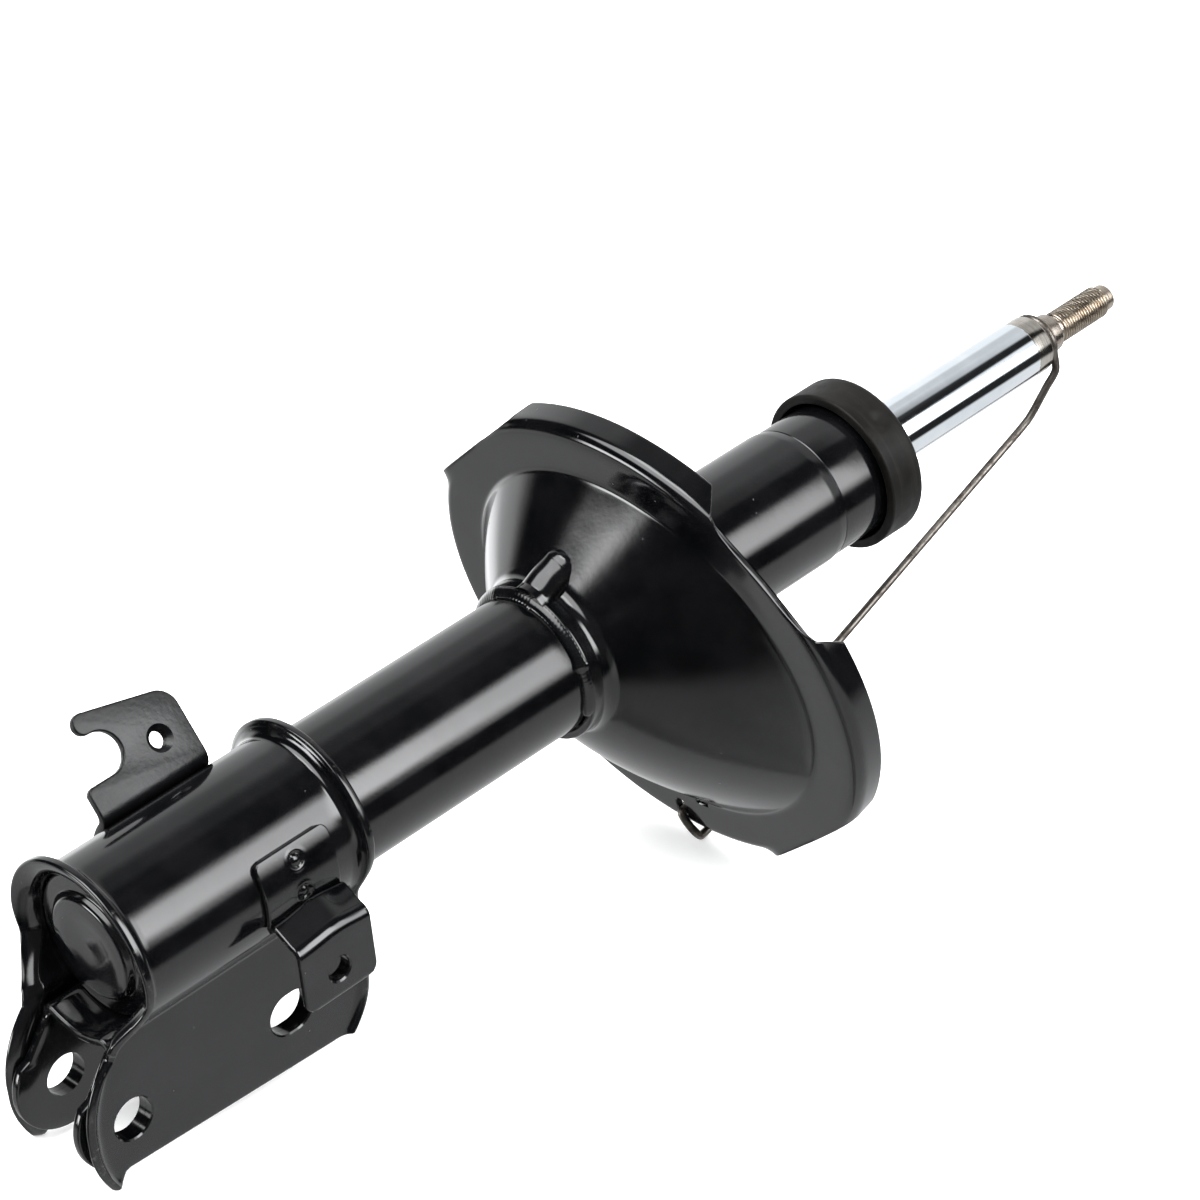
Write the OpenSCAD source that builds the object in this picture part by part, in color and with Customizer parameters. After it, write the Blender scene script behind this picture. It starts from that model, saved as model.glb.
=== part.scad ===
// Twin-tube front suspension strut, lying on its side with its transport wire on.
//
// The strut's own frame: +Z runs up the axis to the rod, +X runs down through the
// ears of the knuckle bracket, and Z = 0 is the lower edge of that bracket.
// lay_down() turns it on its side, with the origin in the lower knuckle bolt hole.
// All sizes are millimetres and degrees.

/* [Tube] */
// Outside diameter of the outer tube
tube_d = 51; // [48:0.5:56]
// Wall of the outer tube
tube_wall = 2.6; // [2:0.1:3.2]
// Height of the tube's upper end
tube_top = 352; // [345:1:400]
// Length of the turned-down neck under the cap
neck_len = 30; // [20:1:40]
// Radial step from the tube down to the neck
neck_step = 0.5; // [0.3:0.1:1]
// Height of the tube's lower end
tube_low = 8; // [6:1:14]

/* [Rod] */
// Diameter of the piston rod
rod_d = 22; // [18:0.5:24]
// Length of rod that shows between the tube's end and the rod's shoulder
rod_show = 96.5; // [92:0.5:140]
// Diameter of the collar above the shoulder
collar_d = 14.8; // [13:0.1:16]
// Length of the collar
collar_len = 10; // [6:0.5:16]
// Thread diameter of the stud
stud_d = 12; // [10:1:12]
// Length of the threaded part of the stud
thread_len = 27.5; // [18:0.5:35]
// Length of the plain tip past the thread
tip_len = 3.8; // [3:0.1:10]

/* [Damper] */
// Bore of the inner cylinder
bore_d = 32; // [30:0.5:34]
// Wall of the inner cylinder
bore_wall = 1.5; // [1.2:0.1:2]
// Height of the piston's lower face with the rod at rest
piston_z = 148; // [145:1:170]
// Length of the piston
piston_len = 18; // [14:1:24]
// Running clearance of the rod and the piston, on the radius
run_gap = 0.05; // [0.02:0.01:0.08]

/* [Knuckle bracket] */
// Thickness of the bracket's sheet
sheet_t = 3.2; // [2.6:0.1:4]
// Length of the bracket round the tube
bracket_len = 93.5; // [85:0.5:105]
// Width over the two ears
ear_w = 40.1; // [38:0.1:44]
// Distance from the tube's axis to the lower edge of the ears
ear_reach = 70.5; // [66:0.5:78]
// Distance from the tube's axis to the bolt holes
bolt_x = 52.5; // [48:0.5:56]
// Height of the lower bolt hole
bolt_z = -5.9; // [-10:0.1:0]
// Distance between the two bolt holes
bolt_gap = 66.4; // [58:0.2:70]
// Diameter of the lower bolt hole
bolt_d = 15; // [12:0.5:16]
// Extra length of the upper hole, along the tube
slot_extra = 2.5; // [1:0.5:5]
// How far the rolled lip stands off the sheet round the tube
lip_h = 6.5; // [4:0.1:7.5]

/* [Spring seat] */
// Height of the seat plane's centre
seat_z = 237; // [225:1:260]
// Shift of the seat's centre towards the ears
seat_shift_x = 10.9; // [0:0.1:14]
// Shift of the seat's centre towards the sensor bracket
seat_shift_y = 10.2; // [0:0.1:14]
// Tilt of the seat plane
seat_tilt = 11.3; // [4:0.1:13]
// Radius at the foot of the bell
bell_r = 73.5; // [68:0.5:78]
// Radius over the seat's lip
seat_r = 92.3; // [88:0.1:98]
// Height of the two tall lips over the seat's underside
seat_lip = 12.3; // [8:0.1:16]
// Height of the long low lip
low_lip = 5.5; // [4.5:0.1:8]
// Distance from the seat's centre to its three straight edges
flat_r = 88.4; // [84:0.1:90]
// Thickness of the seat's sheet
seat_t = 3; // [2.4:0.1:3.4]

/* [Cap] */
// Radius of the cap's skirt
cap_r = 29.8; // [28:0.1:33]
// Length of the cap
cap_len = 16; // [12:0.5:22]
// Thickness of the skirt
cap_wall = 3.4; // [2.5:0.1:4]

/* [Small brackets] */
// Height of the middle of the sensor bracket
sensor_z = 65; // [58:0.5:68]
// Width of the sensor bracket
sensor_w = 30; // [24:0.5:34]
// Distance of the sensor bracket's tab from the tube's axis
sensor_out = 42; // [38:0.5:48]
// Hole in the sensor bracket's tab
sensor_hole_d = 8.8; // [7:0.1:10]
// Thickness of the sensor bracket
sensor_t = 2; // [1.6:0.1:2.6]
// Thickness of the hose bracket
hose_t = 3; // [2.5:0.1:3.4]
// Direction of the hose bracket's tab, from straight up
hose_angle = 38; // [30:1:50]
// Diameter of the hose slot
hose_slot_d = 14.8; // [12:0.2:15]
// Thread bore of the hose bracket
hose_hole_d = 6.4; // [5:0.1:7]

/* [Transport wire] */
// Diameter of the transport wire
wire_d = 3; // [2.4:0.1:3.2]

/* [Hidden] */
$fn = 96;
EPS = 0.01;

// Clearance between two still pieces that fit together
FIT = 0.1;
tube_r = tube_d / 2;
neck_r = tube_r - neck_step;
rod_r = rod_d / 2;
bore_r = bore_d / 2;
wire_r = wire_d / 2;

// Bracket: middle of the sheet round the tube and in the ears
wrap_r = tube_r + FIT + sheet_t / 2;
ear_mid = (ear_w - sheet_t) / 2;
slot_z = bolt_z + bolt_gap;

// Rod: heights along the axis
shoulder_z = tube_top + rod_show;
stud_z = shoulder_z + collar_len;
tip_z = stud_z + thread_len + tip_len;

// Seat collar
collar_r = tube_r + FIT + seat_t;
seat_low = seat_z - 42;
seat_collar = 9;

// Rest on a flat surface: the ears' front corners and the wire's hook touch it
hook_reach = 105;
hook_z = 254;
ear_corner = 74;
ear_corner_z = -16;
rest_tilt = atan((hook_reach - ear_corner) / (hook_z - ear_corner_z));

// ---------------------------------------------------------------- placing

module lay_down() {
    rotate([0, 90 - rest_tilt, 0]) translate([-bolt_x, 0, -bolt_z]) children();
}

// Turns its children into the plane of the spring seat
SEAT_TURN = -8.6;
module in_seat() {
    translate([seat_shift_x, -seat_shift_y, seat_z])
        rotate([0, 0, SEAT_TURN]) rotate([0, -seat_tilt, 0]) rotate([0, 0, -SEAT_TURN])
            children();
}

// ---------------------------------------------------------------- sweeps

function flat_list(lists) = [for (l = lists) for (v = l) v];

// Triangles of a closed grid of rows x cols points, open or closed along the rows
function grid_faces(rows, cols, wrap_rows = true) = flat_list([
    for (i = [0 : rows - (wrap_rows ? 1 : 2)]) for (j = [0 : cols - 1])
        let (a = i * cols + j, b = i * cols + (j + 1) % cols,
             c = ((i + 1) % rows) * cols + (j + 1) % cols, d = ((i + 1) % rows) * cols + j)
            [[a, b, c], [a, c, d]]
]);

function unit(v) = v / norm(v);

// One ring of a round tube swept along a route, square to the route there
function tube_ring(route, i, r, sides) =
    let (n = len(route) - 1,
         dir = unit(route[min(i + 1, n)] - route[max(i - 1, 0)]),
         side = unit(cross(dir, abs(dir.y) < 0.9 ? [0, 1, 0] : [1, 0, 0])),
         up = cross(dir, side))
        [for (k = [0 : sides - 1])
            route[i] + r * (cos(360 * k / sides) * side + sin(360 * k / sides) * up)];

module round_wire(route, r, sides = 8) {
    n = len(route);
    rings = flat_list([for (i = [0 : n - 1]) tube_ring(route, i, r, sides)]);
    ends = [[for (k = [0 : sides - 1]) k],
            [for (k = [sides - 1 : -1 : 0]) (n - 1) * sides + k]];
    caps = [for (e = ends) for (k = [1 : sides - 2]) [e[0], e[k], e[k + 1]]];
    walls = [for (f = grid_faces(n, sides, false)) [f[0], f[2], f[1]]];
    polyhedron(points = rings, faces = concat(caps, walls));
}

// Points on a circular arc in the plane of two unit vectors u and v
function arc3(centre, u, v, r, from, to, steps) = [
    for (k = [0 : steps]) let (a = from + (to - from) * k / steps)
        centre + r * (cos(a) * u + sin(a) * v)
];

// ---------------------------------------------------------------- tube

module outer_tube() {
    color("#0c0d10") rotate_extrude() {
        roll = 2.2;
        polygon([
            [tube_r - tube_wall, tube_low], [tube_r - 0.4, tube_low], [tube_r, tube_low + 0.8],
            [tube_r, tube_top - neck_len], [neck_r, tube_top - neck_len + 1.2],
            [neck_r, tube_top - roll], [neck_r - 0.7, tube_top - 0.6],
            [neck_r - roll, tube_top], [neck_r - 5, tube_top], [neck_r - 5, tube_top - 2],
            [tube_r - tube_wall, tube_top - 2 - FIT]
        ]);
    }
}

// Pressed cup that closes the tube's lower end, with a raised round boss
boss_r = 19.2;
boss_h = 3;
module base_cup() {
    cup_r = tube_r - tube_wall - FIT;
    t = 3;
    floor_z = tube_low - FIT;
    color("#101114") rotate_extrude() {
        polygon([
            [0, floor_z - t - boss_h + 0.6], [boss_r - 8, floor_z - t - boss_h + 0.3],
            [boss_r - 1.8, floor_z - t - boss_h + 1], [boss_r - 0.5, floor_z - t - boss_h + 1.8],
            [boss_r, floor_z - t], [tube_r - 1.2, floor_z - t], [tube_r, floor_z - t + 1.2],
            [tube_r, floor_z], [cup_r, floor_z], [cup_r, floor_z + 9],
            [cup_r - t + 0.6, floor_z + 9], [cup_r - t + 0.6, floor_z + 2],
            [cup_r - t - 1.4, floor_z], [boss_r - 2, floor_z], [boss_r - 3.4, floor_z - boss_h + 1],
            [0, floor_z - boss_h + 0.6]
        ]);
    }
}

// ---------------------------------------------------------------- knuckle bracket

// Bend of the rolled lips: out is how far it stands off the sheet, deep how far
// it runs along the tube, and full its last angle
WRAP_LIP = [lip_h, 5.5, 84];
EAR_LIP = [2.8, 5.5, 60];
ear_from = asin(ear_mid / wrap_r);
wrap_x = wrap_r * cos(ear_from);
EAR_ROWS = 11;
WRAP_ROWS = 52;
LIP_ROWS = 4;

// Lower and upper edge of the sheet at a distance x down from the tube's axis
function ease(t) = let (c = min(max(t, 0), 1)) c * c * (3 - 2 * c);
WRAP_LOW = -1.5;
EAR_LOW = -24.6;
function low_edge(x) = x < bolt_x
    ? WRAP_LOW + (EAR_LOW - WRAP_LOW) * ease(pow(max((x - 4) / (bolt_x - 8), 0), 0.75))
    : EAR_LOW + 0.018 * pow(x - bolt_x, 2);
function high_edge(x) = bracket_len - (x > bolt_x ? 0.027 * pow(x - bolt_x, 2) : 0);

// The bracket's path seen along the tube: an ear, round the tube, the other ear.
// Each point is [x, y, outward x, outward y, share of ear in its lip]
function ear_row(k, side) =
    let (x = wrap_x + (ear_reach - wrap_x) * k / EAR_ROWS)
        [x, side * ear_mid, 0, side, 1];
function wrap_row(k) =
    let (a = ear_from + (360 - 2 * ear_from) * k / WRAP_ROWS, away = min(a, 360 - a) - ear_from)
        [wrap_r * cos(a), wrap_r * sin(a), cos(a), sin(a), 1 - ease(away / 60)];
bracket_path = concat(
    [for (k = [EAR_ROWS : -1 : 1]) ear_row(k, 1)],
    [for (k = [0 : WRAP_ROWS]) wrap_row(k)],
    [for (k = [1 : EAR_ROWS]) ear_row(k, -1)]
);

// Across the sheet from its low edge to its high edge: [offset, height, slope angle]
function lip_point(p, k, low) =
    let (out = p[4] * EAR_LIP[0] + (1 - p[4]) * WRAP_LIP[0],
         deep = p[4] * EAR_LIP[1] + (1 - p[4]) * WRAP_LIP[1],
         full = p[4] * EAR_LIP[2] + (1 - p[4]) * WRAP_LIP[2],
         a = full * (1 - k / LIP_ROWS),
         rise = out * (1 - cos(a)) / (1 - cos(full)),
         run = deep * (1 - sin(a) / sin(full)),
         edge = sin(full) * sheet_t / 2,
         bend = atan2(out * sin(a) / (1 - cos(full)), deep * cos(a) / sin(full)))
        low ? [rise, low_edge(p[0]) + edge + run, bend]
            : [rise, high_edge(p[0]) - edge - run, -bend];
function sheet_column(p) = concat(
    [for (k = [0 : LIP_ROWS]) lip_point(p, k, true)],
    [for (k = [LIP_ROWS : -1 : 0]) lip_point(p, k, false)]
);
// The ears' lower edge leans down a little towards the rod, and turns down to a
// point at its front corner
EAR_LEAN = 0.055;
EAR_POINT = 4.2;
function sheet_point(p, c, side) =
    let (o = c[0] + side * cos(c[2]) * sheet_t / 2, z = c[1] + side * sin(c[2]) * sheet_t / 2,
         down = EAR_LEAN * z + EAR_POINT * ease((-11 - z) / 5),
         lean = down * ease((p[0] - wrap_x) / (ear_reach - wrap_x)))
        [p[0] + p[2] * o + lean, p[1] + p[3] * o, z];

module bracket_sheet() {
    columns = len(bracket_path);
    across = 2 * (2 * LIP_ROWS + 2);
    points = flat_list([for (p = bracket_path) let (c = sheet_column(p), n = len(c)) concat(
        [for (i = [0 : n - 1]) sheet_point(p, c[i], 1)],
        [for (i = [n - 1 : -1 : 0]) sheet_point(p, c[i], -1)])]);
    last = (columns - 1) * across;
    n = across / 2;
    ends = flat_list([for (i = [0 : n - 2]) [
        [i, across - 1 - i, across - 2 - i], [i, across - 2 - i, i + 1],
        [last + i, last + across - 2 - i, last + across - 1 - i],
        [last + i, last + i + 1, last + across - 2 - i]]]);
    polyhedron(points = points, faces = concat(grid_faces(columns, across, false), ends));
}

// Bolt holes through both ears, w long
module bolt_holes(w) {
    translate([bolt_x, w / 2, bolt_z]) rotate([90, 0, 0]) cylinder(d = bolt_d, h = w);
    for (s = [-1, 1]) translate([bolt_x, w / 2, slot_z + s * slot_extra / 2])
        rotate([90, 0, 0]) cylinder(d = bolt_d, h = w);
    translate([bolt_x - bolt_d / 2, -w / 2, slot_z - slot_extra / 2])
        cube([bolt_d, w, slot_extra]);
}

module knuckle_bracket() {
    color("#0b0c0f") difference() {
        bracket_sheet();
        bolt_holes(ear_w + 20);
    }
}

// Second layer inside the ears, with a saddle that hugs the tube's lower side
saddle_r = tube_r + FIT + sheet_t / 2;
chan_mid = ear_mid - sheet_t - FIT;
CHAN_LOW = -8;
CHAN_END_R = 19.5;
CHAN_BEND = 2.6;
module channel_profile() {
    c = [sqrt(pow(saddle_r + CHAN_BEND, 2) - pow(chan_mid - CHAN_BEND, 2)), chan_mid - CHAN_BEND];
    a0 = atan2(c.y, c.x);
    half = concat(arc2([0, 0], saddle_r, a0 / 6, a0, 5), arc2(c, CHAN_BEND, 150 + a0, 90, 4),
                  [[ear_reach + 20, chan_mid]]);
    strip(concat(reverse([for (p = half) [p.x, -p.y]]), half), sheet_t);
}
// Side view of the channel: the saddle strip and an ear that rounds the bolt holes
module channel_side() {
    for (z = [bolt_z, slot_z]) translate([bolt_x, z]) circle(r = CHAN_END_R);
    translate([bolt_x, bolt_z]) square([CHAN_END_R - EPS, bolt_gap]);
    translate([0, CHAN_LOW]) square([bolt_x, bolt_gap + 20]);
}
module ear_channel() {
    color("#0a0b0d") difference() {
        intersection() {
            translate([0, 0, -50]) linear_extrude(height = 200) channel_profile();
            translate([0, ear_w / 2, 0]) rotate([90, 0, 0]) linear_extrude(height = ear_w)
                channel_side();
        }
        bolt_holes(ear_w + 20);
    }
}

// Fillet of weld between the tube and the bracket's upper lip
WELD_ROWS = [3, 2, 1];
module bracket_weld() {
    away = [0, wrap_r, 0, 1, 0];
    side = -1 - 2 * FIT / sheet_t;
    lip = [for (k = WELD_ROWS) sheet_point(away, lip_point(away, k, false), side)];
    r0 = tube_r + FIT / 2;
    color("#0c0d10") rotate([0, 0, 104]) rotate_extrude(angle = 152) polygon(concat(
        [[r0, lip[0].z + 0.2]],
        [for (q = lip) [q.y, q.z]],
        [[lip[2].y - 1.6, lip[2].z + 1.1], [r0, lip[2].z + 1.4]]
    ));
}

// ---------------------------------------------------------------- spring seat

NECK_BEND = 6;
FOOT_BEND = 4;
LIP_BEND = 4.4;
BELL_FROM = 31;
BELL_TO = 42;
BELL_ROWS = 7;
foot_r = bell_r + FOOT_BEND * 0.42;
bell_r0 = collar_r + NECK_BEND * (1 - sin(BELL_FROM));
bell_z0 = seat_low + seat_collar + NECK_BEND * cos(BELL_FROM);
bell_r1 = foot_r - FOOT_BEND * sin(BELL_TO);

// Straight edges, seen from the rod: the direction of each one's middle. The low
// lip runs from the second to the first
SEAT_FLATS = [137, -42.5, -131.5];
flat_half = acos(flat_r / seat_r);
function is_low(a) = a > SEAT_FLATS[1] && a < SEAT_FLATS[0];

// The low lip opens out flat at both its ends, over OPEN_SPAN degrees
OPEN_SPAN = 16;
function opening(a) = is_low(a)
    ? 1 - ease((min(a - SEAT_FLATS[1], SEAT_FLATS[0] - a) - flat_half) / OPEN_SPAN)
    : 1 - ease(max(a - SEAT_FLATS[0], SEAT_FLATS[1] - a) / flat_half);

// Lip at a distance s along its sheet from the start of its bend, in direction a:
// [radius, height over the seat plane, slope angle]
bend_len = LIP_BEND * PI / 2;
function lip_at(s, a) =
    let (full = 90 * (1 - opening(a)), slope = min(full, s / LIP_BEND * 180 / PI),
         past = s - LIP_BEND * slope * PI / 180)
        [seat_r - LIP_BEND * (1 - sin(slope)) + past * cos(slope),
         LIP_BEND * (1 - cos(slope)) + past * sin(slope), slope];
function lip_len(a) = bend_len + (is_low(a) ? low_lip : seat_lip) - LIP_BEND;

// Rows of the seat's underside: [share of shift and tilt, height on the axis,
// radius, height over the seat plane, slope, share of the drain rib]
function mix(a, b, t) = a + (b - a) * t;
function bell_row(k) =
    let (u = k / BELL_ROWS)
        [u, mix(bell_z0, seat_z, 0.8 * u + 0.2 * u * u), mix(bell_r0, bell_r1, u),
         -FOOT_BEND * (1 - cos(BELL_TO)) * u, mix(BELL_FROM, BELL_TO, u), 1 - ease(u / 0.45)];
bell_rows = concat(
    [[0, seat_low, collar_r, 0, 90, 0.3]],
    [for (a = [90, 60]) [0, seat_low + seat_collar + NECK_BEND * cos(a),
        collar_r + NECK_BEND * (1 - sin(a)), 0, a, 1]],
    [for (k = [0 : BELL_ROWS]) bell_row(k)],
    [for (a = [21, 0]) [1, seat_z, foot_r - FOOT_BEND * sin(a),
        -FOOT_BEND * (1 - cos(a)), a, 0]]
);
// Rows past these follow the lip, at these shares of its bend and then at its edge
LIP_ROWS_AT = [0, 1 / 3, 2 / 3, 1];
function seat_rows_at(a) = concat(
    bell_rows,
    [for (k = LIP_ROWS_AT) let (p = lip_at(k * bend_len, a)) [1, seat_z, p[0], p[1], p[2], 0]],
    [let (p = lip_at(lip_len(a), a)) [1, seat_z, p[0], p[1], p[2], 0]]
);

// Directions of the seat's columns, closer together over the drain rib
RIB_AT = -176;
RIB_HALF = 15;
RIB_OUT = 4.5;
RIB_COLS = 12;
REST_COLS = 60;
seat_angles = concat(
    [for (k = [0 : RIB_COLS]) RIB_AT + RIB_HALF * (2 * k / RIB_COLS - 1)],
    [for (k = [1 : REST_COLS - 1])
        RIB_AT + RIB_HALF + (360 - 2 * RIB_HALF) * k / REST_COLS]
);
function rib(a) = let (d = abs(a - RIB_AT)) d < RIB_HALF ? (1 + cos(180 * d / RIB_HALF)) / 2 : 0;

function spin_z(p, a) = [p.x * cos(a) - p.y * sin(a), p.x * sin(a) + p.y * cos(a), p.z];
function lean_y(p, g) = [p.x * cos(g) - p.z * sin(g), p.y, p.x * sin(g) + p.z * cos(g)];
function seat_point(row, a, inner) =
    let (bump = RIB_OUT * rib(a) * row[5],
         r = row[2] + (bump - (inner ? seat_t : 0)) * sin(row[4]),
         h = row[3] - (bump - (inner ? seat_t : 0)) * cos(row[4]),
         p = [r * cos(a), r * sin(a), h],
         q = spin_z(lean_y(spin_z(p, -SEAT_TURN), seat_tilt * row[0]), SEAT_TURN))
        q + [seat_shift_x * row[0], -seat_shift_y * row[0], row[1]];

// A closed loop of points for each column: up its underside and back down inside
function seat_column(a) = let (rows = seat_rows_at(a)) concat(
    [for (r = rows) seat_point(r, a, false)], [for (r = reverse(rows)) seat_point(r, a, true)]);
module seat_shell() {
    columns = [for (a = seat_angles) seat_column(a)];
    polyhedron(points = flat_list(columns),
               faces = [for (f = grid_faces(len(columns), len(columns[0]))) [f[0], f[2], f[1]]]);
}

// The tall lips' ends lean back: [flat, side, how far]
LIP_ENDS = [[0, 1, 3.5], [1, -1, 3.5], [2, 1, 8], [2, -1, 8]];
HOOK_X = 83.6;
HOOK_Y = 7;
module spring_seat() {
    color("#0b0c0e") difference() {
        seat_shell();
        in_seat() {
            for (a = SEAT_FLATS) {
                rotate([0, 0, a]) translate([flat_r, -60, -10]) cube([30, 120, 40]);
                rotate([0, 0, a - flat_half]) rotate_extrude(angle = 2 * flat_half)
                    translate([seat_r - 8, seat_t + 0.2]) square([20, 30]);
            }
            for (e = LIP_ENDS) rotate([0, 0, SEAT_FLATS[e[0]] + e[1] * flat_half])
                translate([seat_r + 6, 0, 0]) rotate([90, 0, -90]) linear_extrude(height = 14)
                    polygon([[e[1] * 6, seat_t + 0.2], [0, seat_t + 0.2],
                             [-e[1] * e[2], seat_lip + 1], [e[1] * 6, seat_lip + 1]]);
            // Slot for the wire's hook, and a drain hole at the foot of the bell
            slot_hole(HOOK_X, HOOK_Y, 3.2, 4.4, 0);
            slot_hole(75, -5, 3.4, 2.4, 86);
        }
    }
}
// A slot through the seat, half long each way plus its round ends
module slot_hole(x, y, half, w, turn) {
    translate([x, y, -5]) rotate([0, 0, turn]) {
        for (s = [-1, 1]) translate([s * half / 2, 0, 0]) cylinder(d = w, h = 15, $fn = 24);
        translate([-half / 2, -w / 2, 0]) cube([half, w, 15]);
    }
}

// Weld bead under the seat's collar, round the upper half of the tube
module seat_weld() {
    r0 = tube_r + FIT / 2;
    color("#0c0d10") rotate([0, 0, 68]) rotate_extrude(angle = 222) polygon([
        [r0, seat_low - FIT / 2], [r0, seat_low - 3.4], [r0 + 1.4, seat_low - 3],
        [r0 + 2.6, seat_low - 1.8], [r0 + 3, seat_low - FIT / 2]
    ]);
}

// ---------------------------------------------------------------- cap

module end_cap() {
    z0 = tube_top + 5 - cap_len;
    z1 = z0 + cap_len;
    bore = rod_r + 1.5;
    color("#191a1b") difference() {
        union() {
            difference() {
                rotate_extrude() polygon([
                    [cap_r - cap_wall, z0], [cap_r - 0.5, z0], [cap_r, z0 + 0.5],
                    [cap_r, z1 - 2], [cap_r - 0.6, z1 - 0.6], [cap_r - 2, z1],
                    [bore, z1], [bore, tube_top + FIT], [cap_r - cap_wall, tube_top + FIT]
                ]);
                for (a = CAP_STAKES) stake(a, cap_r + 1.6, 3.6);
            }
            // Inside of each stake, which grips the neck
            for (a = CAP_STAKES) intersection() {
                stake(a, cap_r - 0.6, 3.6);
                rotate_extrude() translate([neck_r + FIT, z0]) square([cap_r - neck_r - 2.4, 12]);
            }
        }
    }
}
CAP_STAKES = [215, 335, 95];
module stake(a, r, size) {
    rotate([0, 0, a]) translate([r, 0, tube_top - 3.5]) sphere(r = size, $fn = 32);
}

// ---------------------------------------------------------------- small brackets

// Strip of sheet bent along a list of points, its middle on the points
function turn90(v) = [-v.y, v.x];
function strip_side(path, t, s) = [for (i = [0 : len(path) - 1])
    let (n = len(path) - 1,
         a = unit(path[max(i, 1)] - path[max(i, 1) - 1]),
         b = unit(path[min(i, n - 1) + 1] - path[min(i, n - 1)]),
         m = unit(turn90(a) + turn90(b)))
        path[i] + s * t / 2 / (m * turn90(a)) * m];
function reverse(v) = [for (i = [len(v) - 1 : -1 : 0]) v[i]];
module strip(path, t) {
    polygon(concat(strip_side(path, t, 1), reverse(strip_side(path, t, -1))));
}
function arc2(c, r, from, to, n) = [for (k = [0 : n])
    let (a = from + (to - from) * k / n) c + r * [cos(a), sin(a)]];

// Sensor bracket: a plate on the bracket's near side, then a step out to its tab
plate_r = wrap_r + sheet_t / 2 + FIT + sensor_t / 2;
SENSOR_FROM = 238;
SENSOR_TO = 285;
sensor_tab_x = 12;
sensor_reach = 35.5;
sensor_hole_x = 25.5;
module sensor_bracket() {
    end = plate_r * [cos(SENSOR_TO), sin(SENSOR_TO)];
    path = concat(
        arc2([0, 0], plate_r, SENSOR_FROM, SENSOR_TO, 12),
        arc2([end.x + 1.2, end.y - 3.6], 2, 100, 170, 4),
        arc2([sensor_tab_x + 1.6, -sensor_out + 2.6], 2.6, 190, 270, 5),
        [[sensor_reach, -sensor_out]]
    );
    color("#0b0c0e") difference() {
        translate([0, 0, sensor_z - sensor_w / 2]) linear_extrude(height = sensor_w)
            strip(path, sensor_t);
        translate([sensor_hole_x, -sensor_out + 5, sensor_z]) rotate([90, 0, 0])
            cylinder(d = sensor_hole_d, h = 10);
        for (s = [-1, 1]) {
            corner_cut([sensor_reach, -sensor_out, sensor_z + s * sensor_w / 2], s, 3.5);
        }
        for (a = SENSOR_DIMPLES) rotate([0, 0, a])
            translate([plate_r + sensor_t / 2 + 1.4, 0, sensor_z]) sphere(r = 2.6, $fn = 32);
    }
}
// Directions of the two projection welds
SENSOR_DIMPLES = [249, 271];
// Rounds one corner of a tab that lies square to Y
module corner_cut(p, s, r) {
    translate([p.x - r, p.y + 5, p.z - s * r]) rotate([90, 0, 0]) difference() {
        translate([0, s > 0 ? 0 : -r - 1, 0]) cube([r + 1, r + 1, 10]);
        translate([0, 0, -1]) cylinder(r = r, h = 12, $fn = 32);
    }
}

// Hose bracket: a foot round the far side, and a tab that stands out with a slot
// for the hose fitting and a thread. Drawn with the tab along +X
foot_mid = wrap_r + sheet_t / 2 + FIT + hose_t / 2;
HOSE_Z = [30.5, 74.7];
HOSE_TIP = 64.5;
HOSE_SLOT = [49.3, 42];
HOSE_HOLE = [44, 62.3];
HOSE_BACK = 3.9;
hose_slot_r = hose_slot_d / 2;
module hose_outline() {
    c = HOSE_SLOT;
    corner = 3;
    polygon(concat(
        [[-50, HOSE_Z[0]]],
        arc2([c.x - hose_slot_r - corner, HOSE_Z[0] + corner], corner, -60, 0, 4),
        arc2(c, hose_slot_r, 180, 0, 14),
        [[c.x + hose_slot_r + 0.4, c.y - 2.4]],
        arc2([HOSE_TIP - corner - 0.4, c.y - 0.6], corner, 215, 375, 8),
        arc2([50.5, HOSE_Z[1] - 8], 7.8, 15, 85, 6),
        [[-50, HOSE_Z[1] - 0.2]]
    ));
}
module hose_bracket() {
    bend = 4.5;
    a0 = asin((HOSE_BACK + bend) / (foot_mid + bend));
    c = (foot_mid + bend) * [cos(a0), -sin(a0)];
    path = concat(
        arc2([0, 0], foot_mid, -62, -a0, 6),
        arc2(c, bend, 162 - a0, 90, 5),
        [[HOSE_TIP + 5, -HOSE_BACK]]
    );
    tab_y = -HOSE_BACK - hose_t / 2;
    color("#0b0c0e") rotate([0, 0, 180 - hose_angle]) difference() {
        union() {
            intersection() {
                linear_extrude(height = 110) strip(path, hose_t);
                translate([0, 50, 0]) rotate([90, 0, 0]) linear_extrude(height = 100)
                    hose_outline();
            }
            // Drawn collar of the threaded hole
            translate([HOSE_HOLE[0], tab_y + 0.5, HOSE_HOLE[1]]) rotate([90, 0, 0])
                cylinder(d1 = hose_hole_d + 4.6, d2 = hose_hole_d + 3, h = 2.7);
        }
        translate([HOSE_HOLE[0], 10, HOSE_HOLE[1]]) rotate([90, 0, 0])
            cylinder(d = hose_hole_d, h = 30);
        translate([HOSE_HOLE[0], tab_y + hose_t + EPS, HOSE_HOLE[1]]) rotate([90, 0, 0])
            cylinder(d1 = hose_hole_d + 2.6, d2 = hose_hole_d, h = 1.3);
    }
}

// ---------------------------------------------------------------- transport wire

// A loop round the rod's collar, a leg out past the rod, and a hook on the seat
loop_r = collar_d / 2 + 0.2 + wire_r;
loop_z = shoulder_z + wire_r + 0.2;
function in_seat_at(p) =
    spin_z(lean_y(spin_z(p, -SEAT_TURN), seat_tilt), SEAT_TURN)
    + [seat_shift_x, -seat_shift_y, seat_z];
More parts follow.
